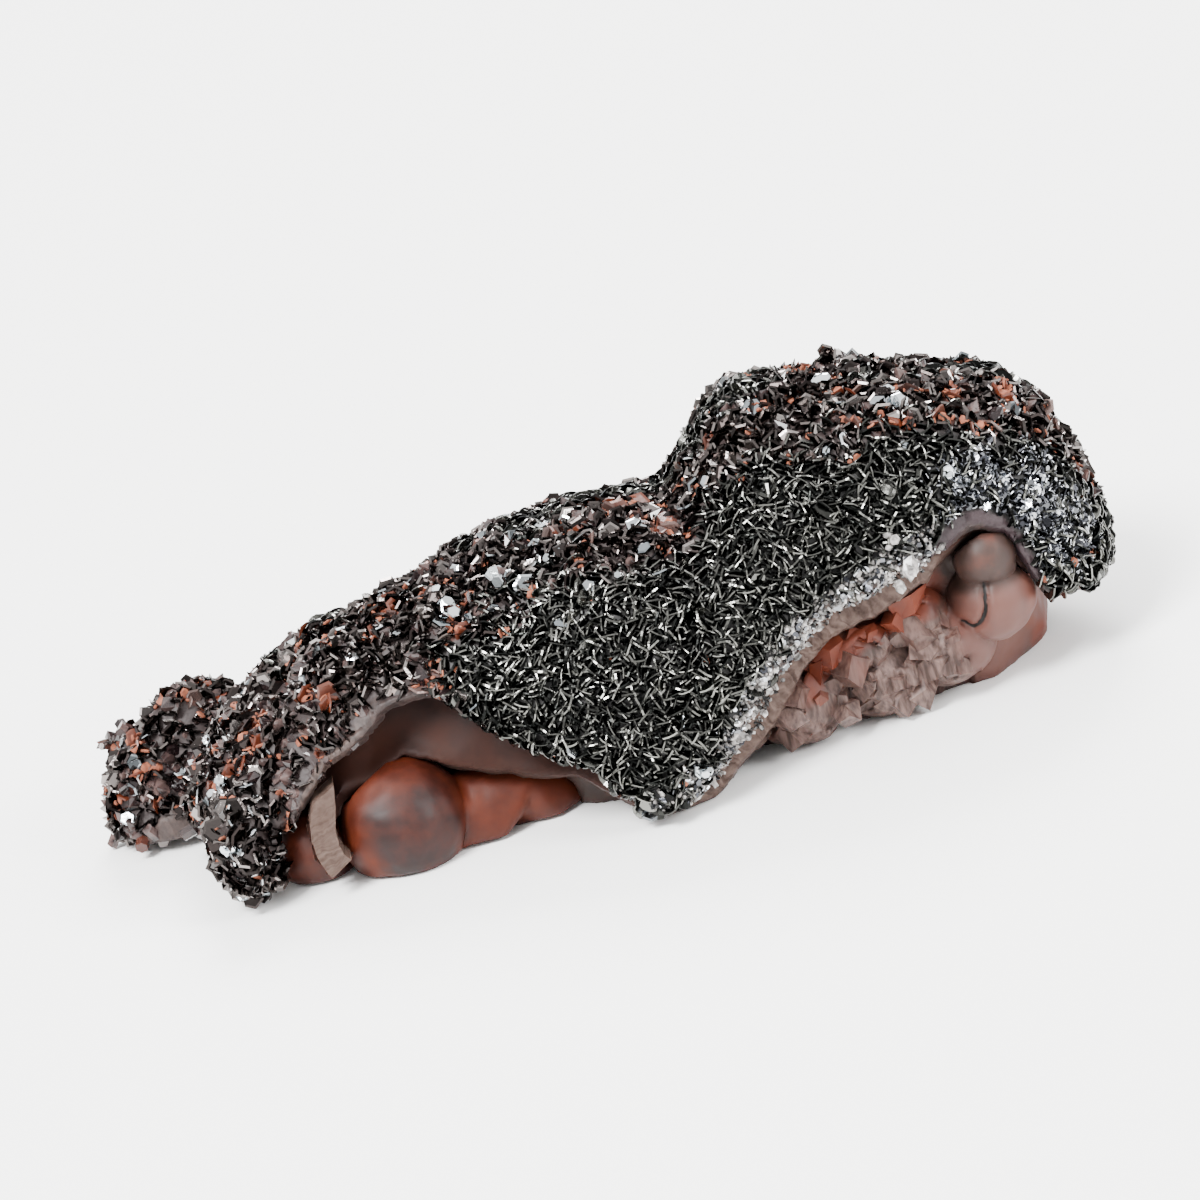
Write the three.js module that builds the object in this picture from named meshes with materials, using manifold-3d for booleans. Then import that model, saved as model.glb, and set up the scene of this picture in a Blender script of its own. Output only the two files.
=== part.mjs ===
// Specular hematite on a chalcedony matrix, a hand specimen about 59 mm long.
// Millimetres, +Z up, X along the specimen, -Y towards the viewer. The origin is on the broken
// face that the matrix rests on. The outer coat of hematite and quartz druse is draped like a
// roof over a pale quartz layer, and both are broken open in front over nodules of chalcedony.
import * as THREE from "three";
import { mergeVertices } from "three/addons/utils/BufferGeometryUtils.js";
import Module from "manifold-3d";

const wasm = await Module();
wasm.setup();

// Driving dimensions of the layers
const COAT_THICKNESS = 1.3;
const GAP = 0.35; // the hairline seam kept between two layers
const QUARTZ_THICKNESS = 1.8;
const QUARTZ_INSET = COAT_THICKNESS + GAP;
const HOLLOW_INSET = QUARTZ_INSET + QUARTZ_THICKNESS;
const BOXINESS = 2.6; // superellipse exponent of the arch; 2 would be a plain ellipse

// Columns along a layer and rows across it: the outer skin, a hidden face, the innermost face
const OUTER_GRID = [38, 14];
const HIDDEN_GRID = [20, 7];
const INNER_GRID = [16, 6];

// A broken edge slopes down inwards, over a width and no more than a share of the arch's half
const BREAK_SLOPE = 0.6; // drop for each millimetre inwards
const BREAK_WIDTH = 4;
const BREAK_SHARE = 0.4;
const BREAK_MARGIN = 3; // how far the cut reaches past the ends, and half of that in front
const BREAK_BOTTOM = -8; // lower than everything that is cut

// The arch of the roof at stations along X: [x, front y, back y, top z]
const ARCHES = [
  [-25.2, -1.8, 2.4, 3.6],
  [-24.6, -3.6, 3.6, 5.4],
  [-23.4, -5.6, 6.2, 7.4],
  [-21.0, -7.4, 8.6, 8.9],
  [-18.0, -8.4, 10.4, 9.9],
  [-15.0, -8.9, 9.4, 12.0],
  [-12.0, -9.2, 8.9, 12.5],
  [-8.0, -9.7, 10.9, 13.2],
  [-5.0, -10.4, 12.0, 13.9],
  [-2.0, -11.3, 11.5, 14.3],
  [1.0, -12.0, 9.9, 15.4],
  [4.0, -11.8, 9.6, 15.4],
  [6.4, -11.0, 10.8, 14.3],
  [7.4, -10.7, 11.6, 15.6],
  [8.8, -10.4, 12.4, 17.7],
  [11.0, -10.0, 13.0, 18.6],
  [13.5, -9.7, 12.3, 18.6],
  [16.5, -9.3, 11.0, 18.2],
  [19.5, -9.0, 11.3, 17.6],
  [22.5, -8.4, 11.6, 16.9],
  [25.5, -7.0, 9.6, 15.6],
  [27.2, -5.6, 7.8, 14.0],
  [28.6, -4.0, 5.8, 11.6],
  [29.4, -2.2, 4.4, 9.2],
  [29.8, -0.4, 2.6, 7.2],
];
const ROOF_LEFT = ARCHES[0][0];
const ROOF_RIGHT = ARCHES[ARCHES.length - 1][0];

// Height of the coat's broken front edge: a low toe between two caves, [x, z]
const COAT_FRONT_EDGE = [
  [-25.0, 4.6],
  [-21.4, 3.6],
  [-19.7, 3.9],
  [-18.1, 5.8],
  [-15.9, 7.5],
  [-14.4, 8.6],
  [-12.7, 9.4],
  [-11.1, 10.0],
  [-9.4, 10.3],
  [-8.1, 9.0],
  [-6.7, 7.9],
  [-5.5, 6.6],
  [-4.0, 5.8],
  [-2.6, 5.2],
  [-1.4, 4.4],
  [-0.4, 2.4],
  [0.6, 1.1],
  [1.6, 1.0],
  [3.2, 1.8],
  [5.2, 3.1],
  [6.3, 4.4],
  [7.3, 5.5],
  [9.1, 6.9],
  [11.5, 8.4],
  [14.0, 9.1],
  [17.4, 9.7],
  [19.6, 10.2],
  [20.3, 10.8],
  [21.5, 11.1],
  [22.6, 10.8],
  [23.5, 10.0],
  [24.0, 8.2],
  [24.2, 6.0],
  [25.2, 5.2],
  [27.9, 4.0],
  [29.4, 4.4],
];
const QUARTZ_FRONT_EDGE = [
  [-23.0, 3.6],
  [-18.4, 4.6],
  [-16.7, 5.2],
  [-15.5, 4.8],
  [-14.2, 5.4],
  [-13.4, 6.3],
  [-11.6, 6.6],
  [-10.6, 6.0],
  [-9.5, 5.5],
  [-6.7, 4.6],
  [-5.2, 3.7],
  [-3.1, 3.0],
  [-1.6, 2.0],
  [-0.2, 0.8],
  [3.2, 0.3],
  [4.4, 0.7],
  [5.9, 1.8],
  [7.4, 2.3],
  [8.5, 3.2],
  [9.6, 4.6],
  [10.8, 5.8],
  [12.8, 6.9],
  [16.2, 7.5],
  [18.6, 8.0],
  [19.9, 8.6],
  [20.5, 9.3],
  [21.5, 9.6],
  [22.5, 9.3],
  [23.3, 8.4],
  [23.7, 6.8],
  [23.9, 6.4],
  [26.0, 6.2],
  [28.4, 6.0],
];
// The back, which the photograph doesn't show, is broken in shallower bays
const BACK_EDGE = [
  [-24.6, 2.6],
  [-20.0, 1.2],
  [-15.0, 2.8],
  [-10.0, 1.4],
  [-5.0, 0.5],
  [0.0, 2.2],
  [5.0, 3.2],
  [10.0, 1.2],
  [15.0, 0.6],
  [20.0, 2.6],
  [25.0, 4.6],
  [29.3, 5.2],
];

// How each edge is broken: facing the front (-1) or the back (1), the height of its teeth in
// millimetres, and the number of teeth along it
const COAT_FRONT_BREAK = { edge: COAT_FRONT_EDGE, side: -1, teeth: 0.5, steps: 46, seed: 3 };
const COAT_BACK_BREAK = { edge: BACK_EDGE, side: 1, teeth: 0.6, steps: 20, seed: 4 };
const QUARTZ_FRONT_BREAK = { edge: QUARTZ_FRONT_EDGE, side: -1, teeth: 0.4, steps: 34, seed: 6 };
const QUARTZ_BACK_BREAK = { edge: BACK_EDGE, side: 1, teeth: 0.4, steps: 20, seed: 7 };
const QUARTZ_BACK_SETBACK = -0.7; // the quartz stops this much higher than the coat at the back

// Rounded masses: [x, y, z, radius x, radius y, radius z]
const LEFT_NODULES = [
  [-13.0, -5.4, 2.0, 3.7, 3.5, 3.6],
  [-18.3, -4.4, 1.5, 2.3, 2.2, 2.4],
  [-9.2, -4.6, 1.5, 3.2, 2.6, 2.3],
  [-6.0, -4.0, 0.9, 3.0, 2.2, 1.8],
];
const RIGHT_NODULES = [
  [22.0, -5.1, 7.7, 1.8, 1.9, 1.8],
  [21.8, -4.6, 5.0, 2.5, 2.7, 2.3],
  [18.8, -4.2, 3.1, 2.9, 2.8, 2.7],
  [17.2, -4.9, 5.3, 2.2, 2.1, 1.7],
  [13.4, -5.1, 4.9, 2.9, 2.5, 1.9],
  [15.0, -4.4, 2.4, 3.4, 2.7, 2.6],
  [10.0, -5.6, 2.6, 3.0, 2.4, 2.5],
];
const HIDDEN_MASSES = [
  [-16.5, 3.4, 2.2, 5.6, 5.0, 6.4],
  [-9.0, 3.2, 2.2, 6.6, 5.6, 7.6],
  [0.5, 0.8, 2.4, 7.0, 8.0, 9.6],
  [9.5, 2.2, 3.0, 7.0, 8.0, 12.0],
  [18.5, 2.0, 4.4, 7.6, 7.6, 10.4],
];
// Scoops that leave the underside of the matrix uneven, between the lands it rests on
const UNDERSIDE_SCOOPS = [
  [-12.0, 4.4, -0.6, 3.4, 2.8, 2.2],
  [5.6, 5.2, -0.6, 3.4, 3.2, 2.5],
  [5.8, -2.6, -0.8, 2.6, 2.0, 2.2],
  [23.6, 2.6, -0.4, 3.2, 3.4, 3.6],
];
const BACK_LOBE = [
  [-23.4, 8.8, 1.9, 4.7, 4.5, 6.8],
  [-26.2, 8.1, 0.9, 4.3, 4.1, 5.9],
];
const BACK_LOBE_FLOOR = 0.7; // the lobe ends flat, just off the ground
const KNOB = [-21.8, -6.2, 3.4, 2.1, 2.5, 3.3];
const NODULE_ROUGHNESS = 0.04; // swelling and sinking, as a share of the radius

// Crystals that stand out from the coat: their number on the roof, on each mass of the back
// lobe and on the knob
const ROOF_CRYSTALS = 52;
const LOBE_CRYSTALS = 11;
const KNOB_CRYSTALS = 9;
const EDGE_CLEARANCE = 1.6; // crystals keep this far above a broken edge

// The hanging lip of broken quartz at the left cave: [x, y, z], a curved slab
const LIP_PATH = [
  [-15.9, -5.1, 4.9],
  [-16.7, -6.0, 4.4],
  [-17.4, -6.9, 3.8],
  [-17.5, -7.4, 3.1],
  [-17.3, -7.8, 2.2],
  [-16.8, -8.0, 1.2],
];
const LIP_WIDTH = 1.35;
const LIP_DEPTH = 2.0;

// Smooth interpolation of one column of a station table at x
function at(stations, x, column = 1) {
  const last = stations.length - 1;
  if (x <= stations[0][0]) return stations[0][column];
  if (x >= stations[last][0]) return stations[last][column];
  const i = stations.findIndex((s) => s[0] > x) - 1;
  const [low, high] = [stations[i], stations[i + 1]];
  const t = (x - low[0]) / (high[0] - low[0]);
  const eased = 0.5 * t + 0.5 * t * t * (3 - 2 * t);
  return low[column] + (high[column] - low[column]) * eased;
}

// A repeatable random number from 0 to 1 for a lattice point
function hash(i, j, k) {
  const s = Math.sin(i * 127.1 + j * 311.7 + k * 74.7) * 43758.5453;
  return s - Math.floor(s);
}

// Value noise from -1 to 1 with the given wavelength in millimetres
function noise(p, wavelength) {
  const q = [p.x / wavelength, p.y / wavelength, p.z / wavelength];
  const cell = q.map(Math.floor);
  const f = q.map((v, n) => v - cell[n]).map((t) => t * t * (3 - 2 * t));
  let sum = 0;
  for (let corner = 0; corner < 8; corner++) {
    const d = [corner & 1, (corner >> 1) & 1, corner >> 2];
    const weight = d.reduce((w, side, n) => w * (side ? f[n] : 1 - f[n]), 1);
    sum += weight * hash(cell[0] + d[0], cell[1] + d[1], cell[2] + d[2]);
  }
  return 2 * sum - 1;
}

// A repeatable stream of random numbers from 0 to 1
function randomStream(seed) {
  let n = seed;
  return () => hash(n++, 17.3, seed);
}

function toSolid(geometry) {
  const plain = geometry.clone();
  plain.deleteAttribute("normal");
  plain.deleteAttribute("uv");
  const merged = mergeVertices(plain, 1e-4);
  return new wasm.Manifold(
    new wasm.Mesh({
      numProp: 3,
      vertProperties: new Float32Array(merged.attributes.position.array),
      triVerts: new Uint32Array(merged.index.array),
    }),
  );
}

function toGeometry(solid) {
  const mesh = solid.getMesh();
  const points = new Float32Array(mesh.numVert * 3);
  for (let i = 0; i < mesh.numVert; i++)
    points.set(mesh.vertProperties.subarray(i * mesh.numProp, i * mesh.numProp + 3), i * 3);
  const geometry = new THREE.BufferGeometry();
  geometry.setAttribute("position", new THREE.BufferAttribute(points, 3));
  geometry.setIndex(new THREE.BufferAttribute(new Uint32Array(mesh.triVerts), 1));
  return geometry.toNonIndexed();
}

const join = (solids) => solids.reduce((all, next) => all.add(next));

// Closed solid through rings of equally many points, closed at both ends by a fan
function loft(rings) {
  const size = rings[0].length;
  const lastRing = (rings.length - 1) * size;
  const first = rings.length * size;
  const triangles = [];
  for (let j = 0; j < size; j++) {
    const next = (j + 1) % size;
    for (let i = 0; i < lastRing; i += size) {
      triangles.push(i + j, i + next, i + size + j);
      triangles.push(i + next, i + size + next, i + size + j);
    }
    triangles.push(next, j, first, lastRing + j, lastRing + next, first + 1);
  }
  const centres = [rings[0], rings[rings.length - 1]].map((ring) =>
    ring.reduce((sum, p) => sum.add(p), new THREE.Vector3()).divideScalar(size),
  );
  const geometry = new THREE.BufferGeometry().setFromPoints([...rings.flat(), ...centres]);
  geometry.setIndex(triangles);
  const solid = toSolid(geometry);
  if (solid.volume() > 0) return solid;
  geometry.setIndex(triangles.reverse());
  return toSolid(geometry);
}

// Front, back and top of the arch at x, for a surface `inset` inside the outer skin
function archAt(x, inset = 0) {
  const front = at(ARCHES, x, 1);
  const back = at(ARCHES, x, 2);
  const half = (back - front) / 2 - inset;
  return { middle: (front + back) / 2, half, top: at(ARCHES, x, 3) - inset };
}

// Point of the arch's surface. `turn` runs from 0 at the front foot to PI at the back foot.
// The rolling lumps are the same at every inset.
function roofPoint(x, turn, inset) {
  const skin = archAt(x);
  const c = Math.cos(turn);
  const s = Math.sin(turn);
  const across = Math.sign(c) * Math.abs(c) ** (2 / BOXINESS);
  const up = Math.max(s, 0) ** (2 / BOXINESS);
  const place = new THREE.Vector3(x, skin.middle - skin.half * across, skin.top * up);
  const lump = 0.45 * noise(place, 5.7) + 0.35 * noise(place, 2.9);
  const half = Math.max(skin.half - inset + lump, 0.3);
  const top = Math.max(skin.top - inset + lump, 0.4);
  return new THREE.Vector3(x, skin.middle - half * across, top * up);
}

// The arch's y at a height, on the front (-1) or the back (1)
function archDepth(x, z, side, inset) {
  const { middle, half, top } = archAt(x, inset);
  const share = THREE.MathUtils.clamp(z / top, 0, 1);
  return middle + side * half * (1 - share ** BOXINESS) ** (1 / BOXINESS);
}

// Closed solid under the arch at an inset, down to `floor`
function roofSolid(inset, [columns, rows], floor = 0) {
  const left = ROOF_LEFT + 1.2 * inset;
  const right = ROOF_RIGHT - 1.2 * inset;
  const rings = [];
  for (let i = 0; i <= columns; i++) {
    // Columns crowd towards the ends, where the roof closes quickly
    const share = 0.5 - 0.5 * Math.cos((Math.PI * i) / columns);
    const x = left + (right - left) * (0.4 * share + 0.6 * (i / columns));
    const ring = [];
    for (let j = 0; j <= rows; j++) ring.push(roofPoint(x, (Math.PI * j) / rows, inset));
    ring.push(ring[rows].clone().setZ(floor - 0.5));
    ring.push(ring[0].clone().setZ(floor - 0.5));
    rings.push(ring);
  }
  return loft(rings).trimByPlane([0, 0, 1], floor);
}

// What lies below and outside a broken edge. Its upper face is jagged, and slopes down inwards so
// that the thickness of the break shows; from there it runs level past the middle of the arch.
// `lowered` moves the whole edge down.
function brokenAway({ edge, side, teeth, steps, seed }, inset, lowered = 0) {
  const random = randomStream(seed);
  const start = ROOF_LEFT - BREAK_MARGIN;
  const length = ROOF_RIGHT + BREAK_MARGIN - start;
  const rings = [];
  for (let i = 0; i <= steps; i++) {
    const x = start + (length * i) / steps;
    const section = THREE.MathUtils.clamp(x, ROOF_LEFT, ROOF_RIGHT);
    const { half, middle } = archAt(section);
    const width = Math.min(BREAK_WIDTH, BREAK_SHARE * half);
    const high = at(edge, x) - lowered + teeth * (random() - 0.5);
    const low = high - BREAK_SLOPE * width;
    const skin = archDepth(section, high, side, inset);
    const outside = skin + side * 2 * BREAK_MARGIN;
    const past = middle - side * teeth;
    const outline = [
      [outside, BREAK_BOTTOM],
      [outside, high],
      [skin, high],
      [skin - side * width, low],
      [past, low],
      [past, BREAK_BOTTOM],
    ];
    rings.push(outline.map(([y, z]) => new THREE.Vector3(x, y, z)));
  }
  return loft(rings);
}

// A lumpy ellipsoid
function lumpyMass([x, y, z, rx, ry, rz], detail, roughness = 0.05, wavelength = 3) {
  const geometry = new THREE.IcosahedronGeometry(1, detail);
  const position = geometry.attributes.position;
  for (let i = 0; i < position.count; i++) {
    const p = new THREE.Vector3().fromBufferAttribute(position, i);
    const offset = new THREE.Vector3(p.x * rx, p.y * ry, p.z * rz);
    const centre = new THREE.Vector3(x, y, z);
    const swell = 1 + roughness * noise(offset.clone().add(centre), wavelength);
    position.setXYZ(i, ...offset.multiplyScalar(swell).add(centre));
  }
  return toSolid(geometry);
}

// The hanging lip: a slab swept along its path
function lipSolid(grow) {
  const path = new THREE.CatmullRomCurve3(LIP_PATH.map((p) => new THREE.Vector3(...p)));
  const across = LIP_WIDTH / 2 + grow;
  const deep = LIP_DEPTH / 2 + grow;
  const section = new THREE.Shape([
    new THREE.Vector2(-across, -deep),
    new THREE.Vector2(across, -deep),
    new THREE.Vector2(across, deep),
    new THREE.Vector2(-across, deep),
  ]);
  return toSolid(new THREE.ExtrudeGeometry(section, { steps: 12, extrudePath: path }));
}

// A flat-faced crystal at a place: a hexagonal plate of hematite or a pointed quartz crystal
function crystal(kind, size, place, outward, random) {
  const plate = kind === "plate";
  const geometry = plate
    ? new THREE.CylinderGeometry(size, size, size * 0.32, 6)
    : new THREE.CylinderGeometry(0, size * 0.7, size * 1.7, 6);
  const lean = new THREE.Vector3(random() - 0.5, random() - 0.5, random() - 0.5);
  const axis = plate
    ? new THREE.Vector3().crossVectors(outward, lean).addScaledVector(outward, 0.2)
    : outward.clone().addScaledVector(lean, 0.9);
  const up = new THREE.Vector3(0, 1, 0);
  geometry.applyQuaternion(new THREE.Quaternion().setFromUnitVectors(up, axis.normalize()));
  geometry.translate(place.x, place.y, place.z);
  return toSolid(geometry);
}

// Crystals standing on the roof, kept off its broken edges
function roofCrystals(count) {
  const random = randomStream(5);
  const solids = [];
  for (let n = 0; n < count; n++) {
    const x = ROOF_LEFT + 2.5 + (ROOF_RIGHT - ROOF_LEFT - 4.5) * ((n + random()) / count);
    const turn = Math.PI * (0.16 + 0.68 * random());
    const place = roofPoint(x, turn, 0.25);
    const outward = place.clone().sub(roofPoint(x, turn, 2)).normalize();
    const edge = place.y < 0 ? COAT_FRONT_EDGE : BACK_EDGE;
    if (place.z < at(edge, x) + EDGE_CLEARANCE) continue;
    const kind = x < -4 && random() < 0.6 ? "point" : "plate";
    solids.push(crystal(kind, 0.65 + 0.45 * random(), place, outward, random));
  }
  return solids;
}

// Crystals standing on a lumpy mass, above a height
function massCrystals([x, y, z, rx, ry, rz], count, lowest, seed) {
  const random = randomStream(seed);
  const solids = [];
  for (let n = 0; n < count; n++) {
    const around = 2 * Math.PI * random();
    const height = -0.5 + 1.45 * random();
    const ring = Math.sqrt(Math.max(1 - height * height, 0));
    const outward = new THREE.Vector3(ring * Math.cos(around), ring * Math.sin(around), height);
    const place = new THREE.Vector3(x + outward.x * rx, y + outward.y * ry, z + outward.z * rz);
    if (place.z < lowest) continue;
    const kind = random() < 0.5 ? "point" : "plate";
    solids.push(crystal(kind, 0.6 + 0.35 * random(), place, outward, random));
  }
  return solids;
}

const ground = (solid) => solid.trimByPlane([0, 0, 1], 0);
const largest = (solid) => solid.decompose().reduce((a, b) => (b.volume() > a.volume() ? b : a));

// The coat: an arched shell, the back lobe and the hanging knob, all set with crystals
function hematiteCoat() {
  const hollow = roofSolid(COAT_THICKNESS, HIDDEN_GRID, -1);
  const shell = roofSolid(0, OUTER_GRID, -1)
    .subtract(brokenAway(COAT_FRONT_BREAK, 0))
    .subtract(brokenAway(COAT_BACK_BREAK, 0));
  const lobe = join(BACK_LOBE.map((mass) => lumpyMass(mass, 2, 0.14, 3.2)));
  const knob = lumpyMass(KNOB, 2, 0.1, 1.9);
  const crystals = [
    ...roofCrystals(ROOF_CRYSTALS),
    ...BACK_LOBE.flatMap((mass, i) => massCrystals(mass, LOBE_CRYSTALS, 1.6, 21 + i)),
    ...massCrystals(KNOB, KNOB_CRYSTALS, 1.2, 30),
  ];
  const floored = lobe.trimByPlane([0, 0, 1], BACK_LOBE_FLOOR);
  return ground(largest(join([shell, floored, knob, ...crystals]).subtract(hollow)));
}

// The pale quartz under the coat, with its lip. A positive `grow` fattens it.
function quartzLayer(grow) {
  const layer = roofSolid(QUARTZ_INSET - grow, HIDDEN_GRID)
    .subtract(roofSolid(HOLLOW_INSET + grow, INNER_GRID, -1))
    .subtract(brokenAway(QUARTZ_FRONT_BREAK, QUARTZ_INSET, grow))
    .subtract(brokenAway(QUARTZ_BACK_BREAK, QUARTZ_INSET, grow + QUARTZ_BACK_SETBACK));
  return largest(ground(join([layer, lipSolid(grow)])));
}

// The nodules of a table, grown by a margin
function nodules(table, finest, margin = 0) {
  const masses = table.map(([x, y, z, ...radii], i) =>
    lumpyMass([x, y, z, ...radii.map((r) => r + margin)], i < finest ? 2 : 1, NODULE_ROUGHNESS),
  );
  return join(masses);
}

const materials = {
  hematite: { color: 0x2b2826, roughness: 0.35, metalness: 0.6 },
  quartz: { color: 0xa8968c, roughness: 0.55, metalness: 0 },
  chalcedony: { color: 0x8f5b47, roughness: 0.4, metalness: 0 },
};

const specimen = new THREE.Group();

function addPiece(name, solid, material) {
  const mesh = new THREE.Mesh(
    toGeometry(solid),
    new THREE.MeshStandardMaterial({ ...materials[material], flatShading: true }),
  );
  mesh.name = name;
  specimen.add(mesh);
}

addPiece("hematite_coat", hematiteCoat(), "hematite");
addPiece("quartz_layer", quartzLayer(0), "quartz");

const quartzRoom = quartzLayer(GAP);
const leftNodule = nodules(LEFT_NODULES, 1).subtract(quartzRoom);
addPiece("chalcedony_nodule_left", largest(ground(leftNodule)), "chalcedony");

const hidden = join(HIDDEN_MASSES.map((mass) => lumpyMass(mass, 1, 0.06, 4)));
const filling = hidden.intersect(roofSolid(HOLLOW_INSET + GAP, INNER_GRID, -1));
const scoops = join(UNDERSIDE_SCOOPS.map((mass) => lumpyMass(mass, 1)));
const matrix = join([filling, nodules(RIGHT_NODULES, 3)])
  .subtract(scoops)
  .subtract(quartzRoom)
  .subtract(nodules(LEFT_NODULES, 0, GAP));
addPiece("chalcedony_matrix", largest(ground(matrix)), "chalcedony");

// The origin stands under the middle of the whole specimen
const middle = new THREE.Box3().setFromObject(specimen).getCenter(new THREE.Vector3());
specimen.position.set(-middle.x, -middle.y, 0);

const handSpecimen = new THREE.Group();
handSpecimen.add(specimen);

export default handSpecimen;
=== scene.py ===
"""A hand specimen of specular hematite on chalcedony, dressed for rendering.

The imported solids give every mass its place. Each is copied, given a finer skin and set with the
crystals that grow on it: thin hematite blades, larger plates, quartz points and iron oxide.
Lengths in the tables are millimetres, in the part's own frame.
"""

import bmesh
import bpy
import numpy as np
from mathutils import Matrix, Vector, noise


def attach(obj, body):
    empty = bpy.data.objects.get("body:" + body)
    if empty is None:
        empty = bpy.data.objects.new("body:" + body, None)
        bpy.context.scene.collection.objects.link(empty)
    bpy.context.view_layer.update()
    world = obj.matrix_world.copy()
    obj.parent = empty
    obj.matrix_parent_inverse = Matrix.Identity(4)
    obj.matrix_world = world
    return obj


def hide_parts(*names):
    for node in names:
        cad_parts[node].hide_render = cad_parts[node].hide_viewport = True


MM = 0.001

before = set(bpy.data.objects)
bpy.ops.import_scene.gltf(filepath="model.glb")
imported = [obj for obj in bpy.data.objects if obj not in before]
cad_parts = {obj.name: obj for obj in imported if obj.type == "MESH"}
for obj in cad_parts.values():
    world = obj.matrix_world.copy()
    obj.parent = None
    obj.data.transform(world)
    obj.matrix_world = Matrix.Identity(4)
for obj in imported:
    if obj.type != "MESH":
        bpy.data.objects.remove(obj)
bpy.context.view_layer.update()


# Small helpers


def linear(hex_colour):
    """The linear colour of an sRGB hex value."""
    parts = [int(hex_colour[i : i + 2], 16) / 255 for i in (1, 3, 5)]
    return (*(c / 12.92 if c <= 0.04045 else ((c + 0.055) / 1.055) ** 2.4 for c in parts), 1.0)


def ramp(low, high, value):
    """A smooth step from 0 at `low` to 1 at `high`, which may be the smaller."""
    t = np.clip((value - low) / (high - low), 0, 1)
    return t * t * (3 - 2 * t)


def lumps(points, wavelength, seed):
    """Noise from about -1 to 1 at points in millimetres."""
    shift = Vector((seed * 17.3, seed * 5.1, seed * 9.7))
    return np.array([noise.noise(Vector(p) / wavelength + shift) for p in points])


def add(tree, kind, inputs=None, output=0, **settings):
    """Add a node with its settings and links, and return one of its outputs.

    `inputs` gives sockets, by name or number, a value, a hex colour or the socket that feeds them.
    """
    node = tree.nodes.new(kind)
    for name, value in settings.items():
        setattr(node, name, value)
    for socket, source in (inputs or {}).items():
        if isinstance(source, bpy.types.NodeSocket):
            tree.links.new(source, node.inputs[socket])
        elif isinstance(source, str) and source.startswith("#"):
            node.inputs[socket].default_value = linear(source)
        else:
            node.inputs[socket].default_value = source
    return node.outputs[output] if node.outputs else None


# Numbers of a Mix node's colour sockets, whose names its other sockets have too
FACTOR = 0
UNDER = 6
OVER = 7
MIXED = 2


# Skins of the masses


def plain_copy(obj, name):
    """The evaluated object as a new plain mesh object; the old one is removed."""
    graph = bpy.context.evaluated_depsgraph_get()
    mesh = bpy.data.meshes.new_from_object(obj.evaluated_get(graph))
    bpy.data.objects.remove(obj)
    mesh.name = name
    plain = bpy.data.objects.new(name, mesh)
    bpy.context.scene.collection.objects.link(plain)
    return plain


def fine_skin(node, name, voxel, passes):
    """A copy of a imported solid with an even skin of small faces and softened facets."""
    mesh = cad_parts[node].data.copy()
    work = bmesh.new()
    work.from_mesh(mesh)
    bmesh.ops.remove_doubles(work, verts=work.verts, dist=1e-6)
    work.to_mesh(mesh)
    work.free()
    obj = bpy.data.objects.new(name, mesh)
    bpy.context.scene.collection.objects.link(obj)
    remesh = obj.modifiers.new("even faces", "REMESH")
    remesh.mode = "VOXEL"
    remesh.voxel_size = voxel * MM
    smooth = obj.modifiers.new("soften", "SMOOTH")
    smooth.iterations = passes
    return plain_copy(obj, name)


def read_skin(obj):
    """Points in millimetres and unit normals of a mesh."""
    count = len(obj.data.vertices)
    points = np.empty(count * 3)
    normals = np.empty(count * 3, np.float32)
    obj.data.vertices.foreach_get("co", points)
    obj.data.vertex_normals.foreach_get("vector", normals)
    return points.reshape(-1, 3) / MM, normals.reshape(-1, 3).astype(float)


def move_skin(obj, points):
    """Put the mesh's corners at points in millimetres."""
    obj.data.vertices.foreach_set("co", (points * MM).ravel())
    obj.data.update()


def paint(obj, name, values):
    """Store one number at every point of the skin."""
    layer = obj.data.attributes.new(name, "FLOAT", "POINT")
    layer.data.foreach_set("value", np.asarray(values, np.float32))


def unit_crystal(name, corners, faces):
    """A small closed mesh about one unit long, to be scaled and repeated."""
    mesh = bpy.data.meshes.new(name)
    mesh.from_pydata(corners, [], faces)
    work = bmesh.new()
    work.from_mesh(mesh)
    bmesh.ops.recalc_face_normals(work, faces=work.faces)
    work.to_mesh(mesh)
    work.free()
    return bpy.data.objects.new(name, mesh)


# Middle of what a part of the coat wraps round: [x, y, z]
ROOF_AXIS = [0.0, -0.2, 3.0]
ROOF_AXIS_ENDS = [-19.0, 24.0]
LOBE_MIDDLE = [-24.6, 7.6, 1.6]
KNOB_MIDDLE = [-21.7, -6.9, 3.6]
# The roof's crest, and the broken front edges of the coat and of the quartz under it: [x, z]
CREST = [[-25, 4], [-21, 9], [-15, 12], [-8, 13.2], [1, 15.3], [6.4, 14.4], [9, 17.8], [12, 18.6],
         [19.5, 17.6], [25.5, 15.6], [28.6, 11.6], [30, 7.2]]
COAT_EDGE = [[-21.1, 3.6], [-17.9, 5.8], [-14.1, 8.6], [-9.2, 10.3], [-6.4, 7.9], [-2.3, 5.2],
             [0.8, 1.1], [5.4, 3.1], [9.3, 6.9], [14.2, 9.1], [19.8, 10.2], [21.7, 11.1],
             [23.7, 10], [24.4, 6], [28.1, 4]]
QUARTZ_EDGE = [[-18.2, 4.6], [-13.9, 5.4], [-13.1, 6.3], [-11.3, 6.6], [-9.2, 5.5], [-4.9, 3.7],
               [-1.3, 2], [0, 0.8], [3.4, 0.3], [7.6, 2.3], [9.8, 4.6], [13, 6.9], [18.8, 8],
               [20.7, 9.3], [21.7, 9.6], [23.5, 8.4], [24.1, 6.4]]
# The hanging slab of broken quartz: [x, y, z]
SLAB_PATH = [[-16.4, -6.7, 4.4], [-17.1, -7.6, 3.8], [-17.2, -8.1, 3.1], [-17.0, -8.5, 2.2],
             [-16.5, -8.7, 1.2]]
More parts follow.
